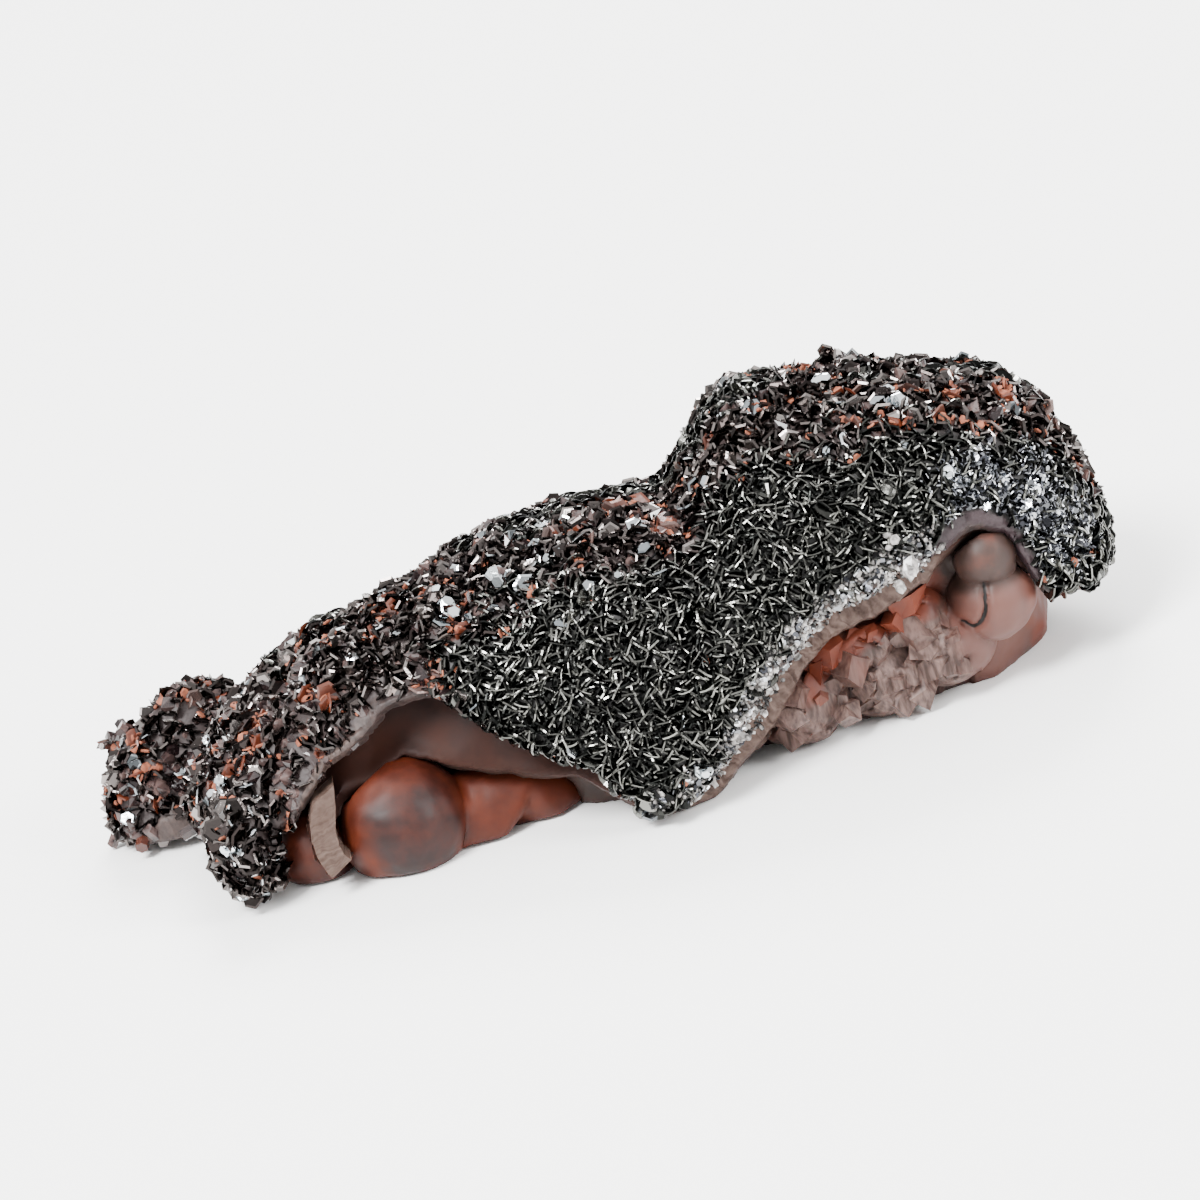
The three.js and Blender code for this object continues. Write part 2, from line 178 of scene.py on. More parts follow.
# Its broken face, from the top down: [left x, y, z, right x, y, z]
SLAB_FACE = [[-17.3, -7.6, 5.2, -15.9, -7.0, 5.7], [-17.69, -8.3, 4.39, -16.1, -7.7, 4.73],
             [-17.86, -8.8, 3.58, -16.45, -8.4, 3.73], [-17.8, -9.2, 2.78, -16.45, -8.9, 2.93],
             [-17.6, -9.45, 2.08, -16.3, -9.25, 2.43], [-17.33, -9.6, 1.47, -16.03, -9.4, 2.16]]
SLAB_THICKNESS = 1.5
# The smooth dark rim that frames the dome under the right arch: [x, z]
DOME_RIM = [[18.6, 9.3], [19.6, 10.0], [20.6, 10.8], [21.6, 11.2], [22.6, 11.0], [23.5, 10.2],
            [24.1, 9.1], [24.4, 7.8], [24.6, 6.6]]
# The bare, pinkish brown rim of the coat over the left hollow: [x, z]
ARCH_RIM = [[-17.5, 5.2], [-17.0, 5.9], [-16.1, 6.7], [-14.8, 7.8], [-13.5, 8.8], [-11.9, 9.9]]
# Large single crystals on the front of the coat, and clusters of silvery plates: [x, z, size]
CLEAR_CRYSTALS = [[17.9, 9.8, 1.5], [17.5, 11.0, 1.0], [19.4, 10.9, 0.9], [22.4, 12.0, 1.1],
                  [13.6, 9.5, 0.9], [8.9, 6.8, 1.4], [6.2, 3.6, 0.9], [12.1, 8.8, 0.8]]
SILVER_CLUSTERS = [[9.9, 14.4, 1.5], [5.4, 10.4, 1.0], [6.3, 6.7, 1.0], [21.4, 13.2, 0.9],
                   [-22.1, 7.4, 1.0], [-21.9, 6.4, 1.1], [-21.8, 5.4, 1.0], [-22.3, 4.4, 0.8],
                   [-12.9, 11.2, 0.9], [-1.7, 14.3, 0.9], [-4.0, 13.6, 1.3], [-7.0, 12.6, 1.3],
                   [8.3, 15.8, 1.2], [26.9, 12.4, 1.4], [3.7, 2.8, 0.9], [19.9, 16.6, 1.1]]
# The open crack across the lower right nodule: [x, z]
CRACK = [[21.75, 6.6], [21.6, 6.0], [21.45, 5.3], [21.1, 4.7], [20.6, 4.35], [20.1, 4.75]]
# Rounded nodules: [x, y, z, radius x, radius y, radius z]
LEFT_NODULES = [[-12.75, -6.07, 2.0, 3.75, 3.5, 3.7], [-18.05, -5.07, 1.5, 2.3, 2.2, 2.4],
                [-9.0, -5.15, 0.5, 6.3, 2.7, 3.05]]
RIGHT_NODULES = [[22.25, -5.77, 7.7, 1.85, 1.9, 1.85], [22.05, -5.27, 5.0, 2.6, 2.7, 2.35],
                 [19.05, -4.87, 3.1, 2.9, 2.8, 2.7], [17.45, -5.57, 5.3, 2.2, 2.1, 1.7],
                 [13.65, -5.77, 4.9, 2.9, 2.5, 1.9], [15.25, -5.07, 2.4, 3.4, 2.7, 2.6],
                 [10.25, -6.27, 2.6, 3.0, 2.4, 2.5]]


def height_at(table, x):
    """The height of a table of [x, z] at x."""
    return np.interp(x, [row[0] for row in table], [row[1] for row in table])


def nearness(points, places, radius):
    """1 at any of the places, falling to 0 at the radius."""
    places = np.asarray(places, float)
    apart = np.linalg.norm(points[:, None, :] - places[None, :, :], axis=2).min(1)
    return ramp(radius, 0.3 * radius, apart)


def beside(table, points, near, far):
    """1 nearer than `near` to a line of [x, z] seen from the front, 0 beyond `far`."""
    spots = np.array([
        np.add(one, share * np.subtract(two, one))
        for one, two in zip(table, table[1:])
        for share in np.arange(0, 1, 0.1)
    ])
    apart = np.linalg.norm(points[:, None, ::2] - spots[None, :, :], axis=2).min(1)
    return ramp(far, near, apart)


def along_edge(points):
    """Millimetres along the broken front edge, which rises and falls along x."""
    rising = (points[:, 0] < -9.2) | ((points[:, 0] > 0.8) & (points[:, 0] < 21.7))
    return 0.86 * points[:, 0] + np.where(rising, 0.5, -0.5) * points[:, 2]


def rounded(points, masses, reach):
    """Points near an ellipsoid of the table, laid exactly on it, so that creases stay crisp."""
    masses = np.array(masses)
    offsets = points[:, None, :] - masses[None, :, :3]
    share = np.linalg.norm(offsets / masses[None, :, 3:], axis=2)
    nearest = share.argmin(1)
    rows = np.arange(len(points))
    share = share[rows, nearest]
    weight = ramp(reach, 0.5 * reach, np.abs(share - 1)) * ramp(0.1, 0.3, points[:, 2])
    laid = masses[nearest, :3] + offsets[rows, nearest] / share[:, None]
    return points + (laid - points) * weight[:, None]


def chipped(points, size, seed):
    """Steps and tilts, in millimetres, of broken chips of about a size."""
    shift = Vector((seed * 3.7, seed * 1.9, seed * 2.3))
    depths = []
    for point in points:
        place = Vector(point) / size + shift
        middle = noise.voronoi(place)[1][0]
        tilt = noise.cell_vector(middle * 5.3)
        depths.append(0.45 * tilt.x + 0.9 * (place - middle).dot(tilt - Vector((0.5, 0.5, 0.5))))
    return np.array(depths) * size


def outwardness(points, normals):
    """1 where the coat faces outwards, -1 where it faces what it covers, 0 on a broken edge."""
    middle = np.empty_like(points)
    middle[:, 0] = np.clip(points[:, 0], *ROOF_AXIS_ENDS)
    middle[:, 1:] = ROOF_AXIS[1:]
    lobe = (points[:, 0] < -20.5) & (points[:, 1] > 3.6)
    knob = (points[:, 0] < -19.3) & (points[:, 1] < -4.4) & (points[:, 2] < 7.2)
    middle[lobe] = LOBE_MIDDLE
    middle[knob] = KNOB_MIDDLE
    away = points - middle
    away /= np.linalg.norm(away, axis=1, keepdims=True)
    return (away * normals).sum(1)


# The coat

BLADE_REACH = 0.38  # how far the crystals stand above the crust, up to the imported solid
FLOOR_CLEARANCE = [0.3, 0.9]  # no crystal grows below the first height, all do above the second
FLOOR_GAP = 0.02  # no skin comes nearer than this to what the specimen rests on
# The low tip of the front edge, and the frosty patch at the domed end: [x, y, z]
TIP = [[0.6, -12.3, 1.0], [-0.6, -12.0, 1.4]]
TIP_REACH = 2.4
FROST = [[25.6, -5.6, 10.3], [23.0, -7.4, 12.3], [26.6, -4.6, 7.6]]
FROST_REACH = 4.1
KNOB_LIMITS = [-19.1, -4.4, 7.2]  # the knob lies below all three: [x, y, z]

coat = fine_skin("hematite_coat", "coat_crust", voxel=0.3, passes=2)
skin, normal = read_skin(coat)
outward = outwardness(skin, normal)
x, y, z = skin.T
patchy = lumps(skin, 3.4, 3)
front = ramp(2.0, -1.5, y)
knob = (skin < KNOB_LIMITS).all(axis=1).astype(float)
left = ramp(-13.0, -17.0, x + 1.5 * patchy)

# Where thin blades grow: on the front below the crest, and in patches on the back
share = z / height_at(CREST, x)
fine = ramp(0.97, 0.84, share + 0.07 * patchy) * ramp(-11.0, -7.0, x + 1.8 * patchy) * front
fine = np.maximum(fine, (1 - front) * ramp(-0.1, 0.25, patchy)) * ramp(-19.5, -17.0, x)

# Where nothing grows: on the broken edge, but for the overhang, and on two smooth rims
above_edge = z - height_at(COAT_EDGE, x)
broken = 1 - ramp(0.15, 0.42, outward)
overhang = ramp(-9.6, -8.4, x) * ramp(3.0, 1.6, x) * front
bare = broken * (1 - overhang * ramp(-0.5, -0.1, outward))
rim = beside(DOME_RIM, skin, 0.35, 0.5) * front
arch_rim = beside(ARCH_RIM, skin, 0.35, 0.55) * front * ramp(-5.0, -6.0, y)
bare = np.maximum(np.maximum(bare, rim), arch_rim)
bare[(x < -15.0) & (y > 0.0) & (z > 2.6)] = 0  # the saddle between the roof and the lobe
standing = ramp(*FLOOR_CLEARANCE, z)
grows = (1 - bare) * standing

# Where iron oxide, sugary quartz and frosty plates lie
iron_noise = lumps(skin, 1.5, 4) + 0.5 * lumps(skin, 0.6, 5)
iron = ramp(0.22, 0.42, iron_noise) * (1 - 0.97 * fine)
clear = ramp(1.5, 0.6, above_edge + 0.9 * lumps(skin, 1.8, 22)) * front
clear *= ramp(1.5, 3.5, x) * ramp(20.5, 19.5, x)
clear = np.maximum(clear, 0.7 * nearness(skin, TIP, TIP_REACH))
sugary = clear * ramp(-0.3, -0.1, outward) * standing
frosty = nearness(skin, FROST, FROST_REACH) * front

# The crust is lumpy, lies as deep as the crystals on it are high, and breaks off ragged
relief = (0.12 + 0.22 * (1 - fine)) * lumps(skin, 1.9, 1) + 0.12 * lumps(skin, 0.9, 2)
outside = ramp(0.1, 0.5, outward)
inside = ramp(-0.1, -0.5, outward)
ragged = bare * front * (lumps(skin * [1, 0, 0.3], 1.5, 25) + 0.5 * lumps(skin, 0.5, 27))
shift = outside * (relief - BLADE_REACH) + inside * 0.25 + 0.16 * ragged
skin = skin + normal * shift[:, None]
skin[:, 2] -= 0.45 * beside(DOME_RIM, skin, 0.8, 2.0) * front * ramp(19.0, 20.5, x)
skin[:, 2] = np.maximum(skin[:, 2], FLOOR_GAP)
move_skin(coat, skin)

# What grows where, read by the crystal trees
crest = ramp(-11.0, -8.0, x) * ramp(3.0, 0.0, x)
clumps = np.maximum(ramp(-0.35, 0.1, lumps(skin, 2.6, 23)), 0.9 * crest)
silver = ramp(-0.1, 0.3, lumps(skin, 2.2, 24) + 0.45 * crest)
paint(coat, "fine", fine * grows * (1 - 0.85 * clear) * (1 - 0.8 * frosty))
paint(coat, "plates", (1 - fine) * grows * (1 - 0.45 * left) * (1 - 0.7 * clear))
paint(coat, "points", (1 - fine) * grows * (1 - knob) * clumps)
paint(coat, "big_points", left * (1 - fine) * grows * (1 - knob))
paint(coat, "clear", sugary)
paint(coat, "frosty", frosty * grows)
paint(coat, "silver", (1 - 0.9 * fine) * grows * silver)
paint(coat, "knob", knob * grows)

# What the materials read: rusty patches and tones of the ground, and the broken edge's columns
pale = ramp(0.6, 2.0, x) * (1 - ramp(18.2, 19.2, x) * ramp(25.8, 25.0, x))
pale = np.maximum(pale, 0.2 * ramp(-20.5, -22.0, x))
paint(coat, "iron", iron * grows * (1 - 0.7 * knob))
paint(coat, "earthy", 1 - fine)
paint(coat, "broken", bare)
paint(coat, "pale", np.maximum(pale, 0.5 * arch_rim * ramp(-12.5, -15.0, x)))
paint(coat, "rim", rim)
paint(coat, "along", along_edge(skin))

# Quartz and chalcedony

LINING_DEPTH = 1.5  # how far the smooth wall of the left hollow is drawn in
SLAB_REACH = 1.75  # of the hanging slab, round its path

quartz = fine_skin("quartz_layer", "quartz_layer_broken", voxel=0.24, passes=2)
skin, normal = read_skin(quartz)
x, y, z = skin.T
coat_edge = height_at(COAT_EDGE, x)
quartz_edge = height_at(QUARTZ_EDGE, x)
edge = 1 - ramp(0.3, 0.75, np.abs(outwardness(skin, normal)))
slab = nearness(skin, SLAB_PATH, SLAB_REACH)
right = ramp(0.6, 2.0, x) * ramp(20.4, 19.2, x)

# The wall of the left hollow is drawn in most halfway up, between the two broken edges
rise = np.clip((z - quartz_edge) / np.maximum(coat_edge - quartz_edge, 0.5), 0, 1.4)
hollowed = ramp(-19.0, -16.0, x) * ramp(0.5, -2.5, x) * ramp(-2.0, -4.0, y) * (1 - slab)
hollowed *= 0.35 + 0.65 * np.sin(np.pi * np.clip(0.15 + 0.7 * rise, 0, 1))

# The edges are ragged, stepped on the right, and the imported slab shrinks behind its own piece
ragged = np.abs(lumps(skin * [1, 0, 0.3], 1.3, 26)) * edge * ramp(-1.0, -3.0, y)
steps = edge * right * ramp(-2.0, -4.0, y) * np.clip(chipped(skin * [1, 0.3, 1], 1.5, 9), -0.5, 0.2)
shift = -0.3 * ragged * (1 - slab) + 0.06 * lumps(skin, 2.0, 7) - 0.5 * slab + 0.55 * steps
skin = skin + normal * shift[:, None]
skin[:, 1] += LINING_DEPTH * hollowed + 0.5 * slab
arched = ramp(-15.5, -13.0, x) * ramp(-4.0, -7.0, x) * ramp(-3.0, -5.0, y) * (1 - slab)
skin[:, 2] -= 0.65 * arched * ramp(2.0, 0.5, z - quartz_edge)
skin[:, 2] = np.maximum(skin[:, 2], FLOOR_GAP)
move_skin(quartz, skin)
crusted = ramp(0.7, 1.1, z - quartz_edge + 0.4 * lumps(skin, 1.1, 28)) * ramp(-3.0, -4.0, y)
paint(quartz, "clear", crusted * ramp(2.0, 4.0, x) * ramp(19.5, 18.0, x))
paint(quartz, "columnar", right)
paint(quartz, "broken", edge)
paint(quartz, "along", along_edge(skin))


SLAB_STATIONS = 21
SLAB_ROUGHNESS = 0.05
SLAB_SEED = 5  # without one, noise_vector takes its offsets from the clock
# Corners of the sides between two rings of four
RING_SIDES = ((0, 1), (1, 2), (2, 3), (3, 0))


def broken_slab():
    """The slab as a curved piece of quartz with sharp edges, cut off slantwise below."""
    stations = np.linspace(0, len(SLAB_FACE) - 1, SLAB_STATIONS)
    table = np.array(SLAB_FACE)
    rows = [np.interp(stations, range(len(table)), column) for column in table.T]
    left_edge, right_edge = np.array(rows[:3]).T, np.array(rows[3:]).T
    behind = np.array([0.0, SLAB_THICKNESS, 0.0])
    corners, faces = [], []
    noise.seed_set(SLAB_SEED)
    for i, (one, two) in enumerate(zip(left_edge, right_edge)):
        for corner in (one, two, two + behind, one + behind):
            place = (Vector(corner) + Vector((i * 0.7, 0, 0))) * 2.5
            corners.append((Vector(corner) + SLAB_ROUGHNESS * noise.noise_vector(place)) * MM)
        if i:
            start = 4 * i
            for a, b in RING_SIDES:
                faces.append((start + a - 4, start + b - 4, start + b, start + a))
    faces += [(0, 1, 2, 3), tuple(range(len(corners) - 4, len(corners)))]
    obj = unit_crystal("quartz_slab", corners, faces)
    bpy.context.scene.collection.objects.link(obj)
    paint(obj, "columnar", np.ones(len(corners)))
    paint(obj, "broken", np.ones(len(corners)))
    paint(obj, "along", np.repeat(stations * 1.4, 4))
    return obj


GREY_HEART = np.array([-12.2, -9.4, 2.7])  # where the left nodule is greyest

nodule_left = fine_skin("chalcedony_nodule_left", "nodule_left_waxy", voxel=0.2, passes=6)
skin, normal = read_skin(nodule_left)
skin = rounded(skin, LEFT_NODULES, 0.4)
skin += normal * (0.16 * lumps(skin, 2.4, 14) + 0.04 * lumps(skin, 0.8, 15))[:, None]
skin[:, 2] = np.maximum(skin[:, 2], FLOOR_GAP)
move_skin(nodule_left, skin)
x, y, z = skin.T
away = np.linalg.norm((skin - GREY_HEART) * [0.95, 0.5, 0.95], axis=1) + 0.35 * lumps(skin, 2.2, 8)
grey = ramp(3.6, 2.0, away) * ramp(-9.0, -10.0, x + 0.3 * lumps(skin, 1.2, 13))
grey = 0.85 * np.maximum(grey, 0.45 * ramp(-15.5, -16.5, x))
paint(nodule_left, "iron", 1 - grey)

matrix = fine_skin("chalcedony_matrix", "matrix_waxy", voxel=0.2, passes=4)
skin, normal = read_skin(matrix)
skin = rounded(skin, RIGHT_NODULES, 0.2)
skin += normal * (0.12 * lumps(skin, 2.4, 16) + 0.04 * lumps(skin, 0.8, 17))[:, None]
x, y, z = skin.T

# Broken chips under the right arch, and the groove of the open crack
fragments = ramp(8.4, 9.4, x) * ramp(20.4, 19.0, x + 0.35 * z - 1.2) * ramp(-4.2, -5.4, y)
chips = chipped(skin, 1.7, 3)
skin[:, 1] -= fragments * (0.5 * chips - 0.35)
on_front = ramp(-5.0, -6.0, y)
skin[:, 1] += 0.4 * beside(CRACK, skin, 0.06, 0.26) * on_front
crack = beside(CRACK, skin, 0.0, 0.5) * on_front
skin[:, 2] = np.maximum(skin[:, 2], FLOOR_GAP)
move_skin(matrix, skin)

# Orange lies in a strip under the quartz, on the outer flank and as a blush on the low dome
below = height_at(QUARTZ_EDGE, x) - z
strip = ramp(2.9, 1.9, below + 0.4 * lumps(skin, 1.2, 9)) * ramp(9.8, 11.2, x) * ramp(20.4, 19.4, x)
flank = ramp(23.3, 24.2, x + 0.4 * lumps(skin, 1.4, 10)) * ramp(7.0, 6.0, z)
blush = 0.5 * ramp(6.4, 5.6, z) * ramp(18.6, 19.4, x) * ramp(3.6, 4.4, z) * ramp(22.0, 21.4, x)
orange = np.maximum(np.maximum(strip, flank), blush) + 0.2 * lumps(skin, 2.0, 12)
orange = np.clip(orange - 0.4 * ramp(18.5, 19.5, x) * ramp(5.8, 6.6, z), 0, 1)
# Paler and pinker on the low dome and the outer flank: partly their own colour, partly painted light
# where the lamps leave them in shade
blanched = ramp(19.0, 20.6, x) * ramp(6.6, 5.9, z) + 0.45 * ramp(23.6, 24.4, x) * ramp(7.0, 6.0, z)
blanched *= (1 - 0.6 * orange) * ramp(-2.0, -4.0, y)
paint(matrix, "iron", orange)
paint(matrix, "fragments", fragments * (1 - strip))
paint(matrix, "chips", fragments * ramp(1.0, 1.7, z))
# Painted shade: darker where the chips are cut deepest, in the crevices between them
paint(matrix, "deep", fragments * ramp(0.1, -0.7, chips))
paint(matrix, "crack", crack)
paint(matrix, "blanched", blanched)

# Crystals that repeat


GROUP_SIZE = 4  # crystals in a group, of which the first is the largest
GROUP_SPREAD = 0.28  # of a crystal's size
GROUP_SCALE = 0.6  # of the crystals after the first
GROUP_LIFT = 0.3  # of a crystal's middle above the skin
GROUP_SEED = 7
BACK_PENALTY = 9.0  # so that a group never lands on a face that looks backwards


def set_crystals(name, unit, places, tone):
    """Crystals in small groups at places on the front of the coat, joined into one mesh."""
    skin, normals = read_skin(coat)
    shape = [corner.co for corner in unit.data.vertices]
    rng = np.random.default_rng(GROUP_SEED)
    corners, faces = [], []
    for x, z, size in places:
        apart = np.hypot(skin[:, 0] - x, skin[:, 2] - z) + BACK_PENALTY * (normals[:, 1] > -0.2)
        k = apart.argmin()
        for j in range(GROUP_SIZE):
            aside = rng.normal(0, GROUP_SPREAD * size, 3) * (j > 0)
            middle = Vector(skin[k] + GROUP_LIFT * normals[k] + aside)
            axis = Vector(normals[k] + rng.normal(0, 0.5, 3))
            turn = axis.to_track_quat("Z", "Y").to_matrix() * size * (GROUP_SCALE if j else 1.0)
            faces += [[v + len(corners) for v in face.vertices] for face in unit.data.polygons]
            corners += [(middle + turn @ corner) * MM for corner in shape]
    obj = unit_crystal(name, corners, faces)
    bpy.context.scene.collection.objects.link(obj)
    paint(obj, "tone", np.full(len(corners), tone))
    return obj


def bent_blade():
    """A thin plate, long in x and high in y, that winds a little along its length."""
    stations = [(-0.5, 0.34, -0.1), (-0.24, 0.46, 0.05), (0.04, 0.48, 0.1), (0.28, 0.45, -0.05),
                (0.5, 0.32, -0.04)]
    corners, faces = [], [(0, 1, 2, 3), (16, 17, 18, 19)]
    for along, high, bend in stations:
        corners += [(along, high, bend + 0.25), (along, high, bend - 0.25),
                    (along, -high, bend - 0.5), (along, -high, bend + 0.5)]
    for i in range(0, 16, 4):
        for a, b in RING_SIDES:
            faces.append((i + a, i + b, i + 4 + b, i + 4 + a))
    return unit_crystal("blade unit", corners, faces)


def broken_chip():
    """An uneven flake: five corners below, five nearer together above, and slanting ends."""
    low = [(-0.5, -0.22), (0.05, -0.5), (0.5, -0.12), (0.28, 0.42), (-0.32, 0.4)]
    high = [(-0.3, -0.05), (0.1, -0.32), (0.4, 0.0), (0.14, 0.24), (-0.22, 0.2)]
    corners = [(x, y, -0.5) for x, y in low]
    corners += [(x, y, 0.3 + 0.35 * x - 0.25 * y) for x, y in high]
    faces = [tuple(range(5)), tuple(range(5, 10))]
    faces += [(k, (k + 1) % 5, 5 + (k + 1) % 5, 5 + k) for k in range(5)]
    return unit_crystal("chip unit", corners, faces)


def prism_rings(name, rings):
    """Six-sided rings of [radius, height], closed at both ends; a radius of 0 is a point."""
    corners, faces, before = [], [], None
    for radius, height in rings:
        if radius == 0:
            corners.append((0, 0, height))
            ring = [len(corners) - 1] * 6
        else:
            ring = list(range(len(corners), len(corners) + 6))
            for angle in np.radians(range(0, 360, 60)):
                corners.append((radius * np.cos(angle), radius * np.sin(angle), height))
        if before is None:
            faces.append(tuple(ring))
        else:
            for k in range(6):
                quad = (before[k], before[k - 5], ring[k - 5], ring[k])
                faces.append(tuple(dict.fromkeys(quad)))
        before = ring
    if len(set(before)) == 6:
        faces.append(tuple(before))
    return unit_crystal(name, corners, faces)


# What a crystal tree asks for, with its usual values: millimetres, radians and shares
TREE_SIZES = {
    "Spacing": 0.4, "Size": 0.8, "Size spread": 0.4, "Thickness": 1.0, "Lean": 0.3, "Spin": 3.14,
    "Sink": 0.1, "From x": -40.0, "To x": 40.0,
}
TREE_CHOICES = {
    "Seed": "NodeSocketInt", "Where": "NodeSocketString", "Unit": "NodeSocketObject",
    "Material": "NodeSocketMaterial",
}
CROWDING = 1.6  # points tried on a square of the spacing, before those too close are dropped
# What chance decides for each crystal: lowest and highest value, each with a seed of its own
FIRST_SEED_STEP = 3
CHANCES = [
    ("direction", (-1, -1, -1), (1, 1, 1)), ("tilt", -1.0, 1.0), ("size", -1.0, 1.0),
    ("thickness", 0.65, 1.35), ("width", 0.75, 1.25), ("spin", -1.0, 1.0), ("tone", 0.0, 1.0),
    ("second direction", (-1, -1, -1), (1, 1, 1)),
]


def crystal_tree(name, upright):
    """A node tree that sets crystals on a skin. Where `upright`, their z axis points outwards;
    otherwise it lies along the skin, so that flat crystals stand on edge."""
    tree = bpy.data.node_groups.new(name, "GeometryNodeTree")
    face = tree.interface
    face.new_socket("Skin", in_out="INPUT", socket_type="NodeSocketGeometry")
    face.new_socket("Crystals", in_out="OUTPUT", socket_type="NodeSocketGeometry")
    for label, usual in TREE_SIZES.items():
        socket = face.new_socket(label, in_out="INPUT", socket_type="NodeSocketFloat")
        socket.default_value = usual
    for label, kind in TREE_CHOICES.items():
        face.new_socket(label, in_out="INPUT", socket_type=kind)
    start = add(tree, "NodeGroupInput").node.outputs

    chance = {}
    for step, (use, low, high) in enumerate(CHANCES, start=FIRST_SEED_STEP):
        if use == ("tilt" if upright else "second direction"):
            continue
        is_vector = isinstance(low, tuple)
        first = 0 if is_vector else 2
        seed = add(tree, "ShaderNodeMath", {0: start["Seed"], 1: step}, operation="ADD")
        chance[use] = add(tree, "FunctionNodeRandomValue", {first: low, first + 1: high, "Seed": seed},
                          0 if is_vector else 1, data_type="FLOAT_VECTOR" if is_vector else "FLOAT")

    # Points on the skin, between two places along x and where the painted layer asks for them
    place = add(tree, "GeometryNodeInputPosition")
    metres = add(tree, "ShaderNodeSeparateXYZ", {0: place})
    along = add(tree, "ShaderNodeMath", {0: metres, 1: MM}, operation="DIVIDE")
    after = add(tree, "ShaderNodeMath", {0: along, 1: start["From x"]}, operation="GREATER_THAN")
    before = add(tree, "ShaderNodeMath", {0: along, 1: start["To x"]}, operation="LESS_THAN")
    between = add(tree, "ShaderNodeMath", {0: after, 1: before}, operation="MULTIPLY")
    painted = add(tree, "GeometryNodeInputNamedAttribute", {"Name": start["Where"]})
    wanted = add(tree, "ShaderNodeMath", {0: between, 1: painted}, operation="MULTIPLY")
    apart = add(tree, "ShaderNodeMath", {0: start["Spacing"], 1: MM}, operation="MULTIPLY")
    square = add(tree, "ShaderNodeMath", {0: apart, 1: apart}, operation="MULTIPLY")
    density = add(tree, "ShaderNodeMath", {0: CROWDING, 1: square}, operation="DIVIDE")
    spots = add(tree, "GeometryNodeDistributePointsOnFaces", {
        "Mesh": start["Skin"],
        "Distance Min": apart,
        "Density Max": density,
        "Density Factor": wanted,
        "Seed": start["Seed"],
    }, distribute_method="POISSON").node.outputs
    outwards = spots["Normal"]

    # Which way each crystal points, and how it is turned about its own axis
    if upright:
        lean = add(tree, "ShaderNodeVectorMath",
                   {0: chance["direction"], "Scale": start["Lean"]}, operation="SCALE")
        axis = add(tree, "ShaderNodeVectorMath", {0: outwards, 1: lean}, operation="ADD")
        second = chance["second direction"]
    else:
        across = add(tree, "ShaderNodeVectorMath",
                     {0: outwards, 1: chance["direction"]}, operation="CROSS_PRODUCT")
        sideways = add(tree, "ShaderNodeVectorMath", {0: across}, operation="NORMALIZE")
        tilt = add(tree, "ShaderNodeMath", {0: chance["tilt"], 1: start["Lean"]}, operation="MULTIPLY")
        lean = add(tree, "ShaderNodeVectorMath", {0: outwards, "Scale": tilt}, operation="SCALE")
        axis = add(tree, "ShaderNodeVectorMath", {0: sideways, 1: lean}, operation="ADD")
        second = outwards
    facing = add(tree, "FunctionNodeAxesToRotation", {0: axis, 1: second},
                 primary_axis="Z", secondary_axis="Y")
    angle = add(tree, "ShaderNodeMath", {0: chance["spin"], 1: start["Spin"]}, operation="MULTIPLY")
    spin = add(tree, "FunctionNodeAxisAngleToRotation", {"Axis": (0, 0, 1), "Angle": angle})
    turned = add(tree, "FunctionNodeRotateRotation", {0: facing, 1: spin}, rotation_space="LOCAL")

    # How large it is: thickness is in millimetres for flat crystals, a ratio for upright ones
    spread = add(tree, "ShaderNodeMath", {0: chance["size"], 1: start["Size spread"]},
                 operation="MULTIPLY")
    varied = add(tree, "ShaderNodeMath", {0: 1.0, 1: spread}, operation="ADD")
    usual = add(tree, "ShaderNodeMath", {0: start["Size"], 1: MM}, operation="MULTIPLY")
    size = add(tree, "ShaderNodeMath", {0: usual, 1: varied}, operation="MULTIPLY")
    wide = add(tree, "ShaderNodeMath", {0: size, 1: chance["width"]}, operation="MULTIPLY")
    share = add(tree, "ShaderNodeMath", {0: start["Thickness"], 1: chance["thickness"]},
                operation="MULTIPLY")
    thick = add(tree, "ShaderNodeMath", {0: share, 1: size if upright else MM},
                operation="MULTIPLY")
    scale = add(tree, "ShaderNodeCombineXYZ", {0: size, 1: wide, 2: thick})

    # The crystals themselves, each with a tone of its own
    depth = add(tree, "ShaderNodeMath", {0: start["Sink"], 1: -MM}, operation="MULTIPLY")
    sinking = add(tree, "ShaderNodeVectorMath", {0: outwards, "Scale": depth}, operation="SCALE")
    sunk = add(tree, "GeometryNodeSetPosition", {"Geometry": spots["Points"], "Offset": sinking})
    unit = add(tree, "GeometryNodeObjectInfo", {"Object": start["Unit"]}, "Geometry")
    grown = add(tree, "GeometryNodeInstanceOnPoints",
                {"Points": sunk, "Instance": unit, "Rotation": turned, "Scale": scale})
    toned = add(tree, "GeometryNodeStoreNamedAttribute",
                {"Geometry": grown, "Name": "tone", "Value": chance["tone"]}, domain="INSTANCE")
    real = add(tree, "GeometryNodeRealizeInstances", {0: toned})
    dressed = add(tree, "GeometryNodeSetMaterial",
                  {"Geometry": real, "Material": start["Material"]})
    add(tree, "NodeGroupOutput", {0: dressed})
    return tree


def grow(tree, name, skin_obj, material, values):
    """Run a crystal tree on a skin. Its crystals as a plain mesh object, or None if it has none."""
    obj = bpy.data.objects.new(name, skin_obj.data.copy())
    bpy.context.scene.collection.objects.link(obj)
    modifier = obj.modifiers.new("crystals", "NODES")
    modifier.node_group = tree
    values = {**values, "Material": material}
    for item in tree.interface.items_tree:
        if item.in_out == "INPUT" and item.name in values:
            modifier[item.identifier] = values[item.name]
    crystals = plain_copy(obj, name)
    if len(crystals.data.polygons) > 0:
        return crystals
    bpy.data.objects.remove(crystals)
    return None


# Materials

QUARTZ_IOR = 1.54  # also that of chalcedony, which is quartz in fibres too fine to see
NOISE_DETAIL = 3.0
RUST = "#4f2212"
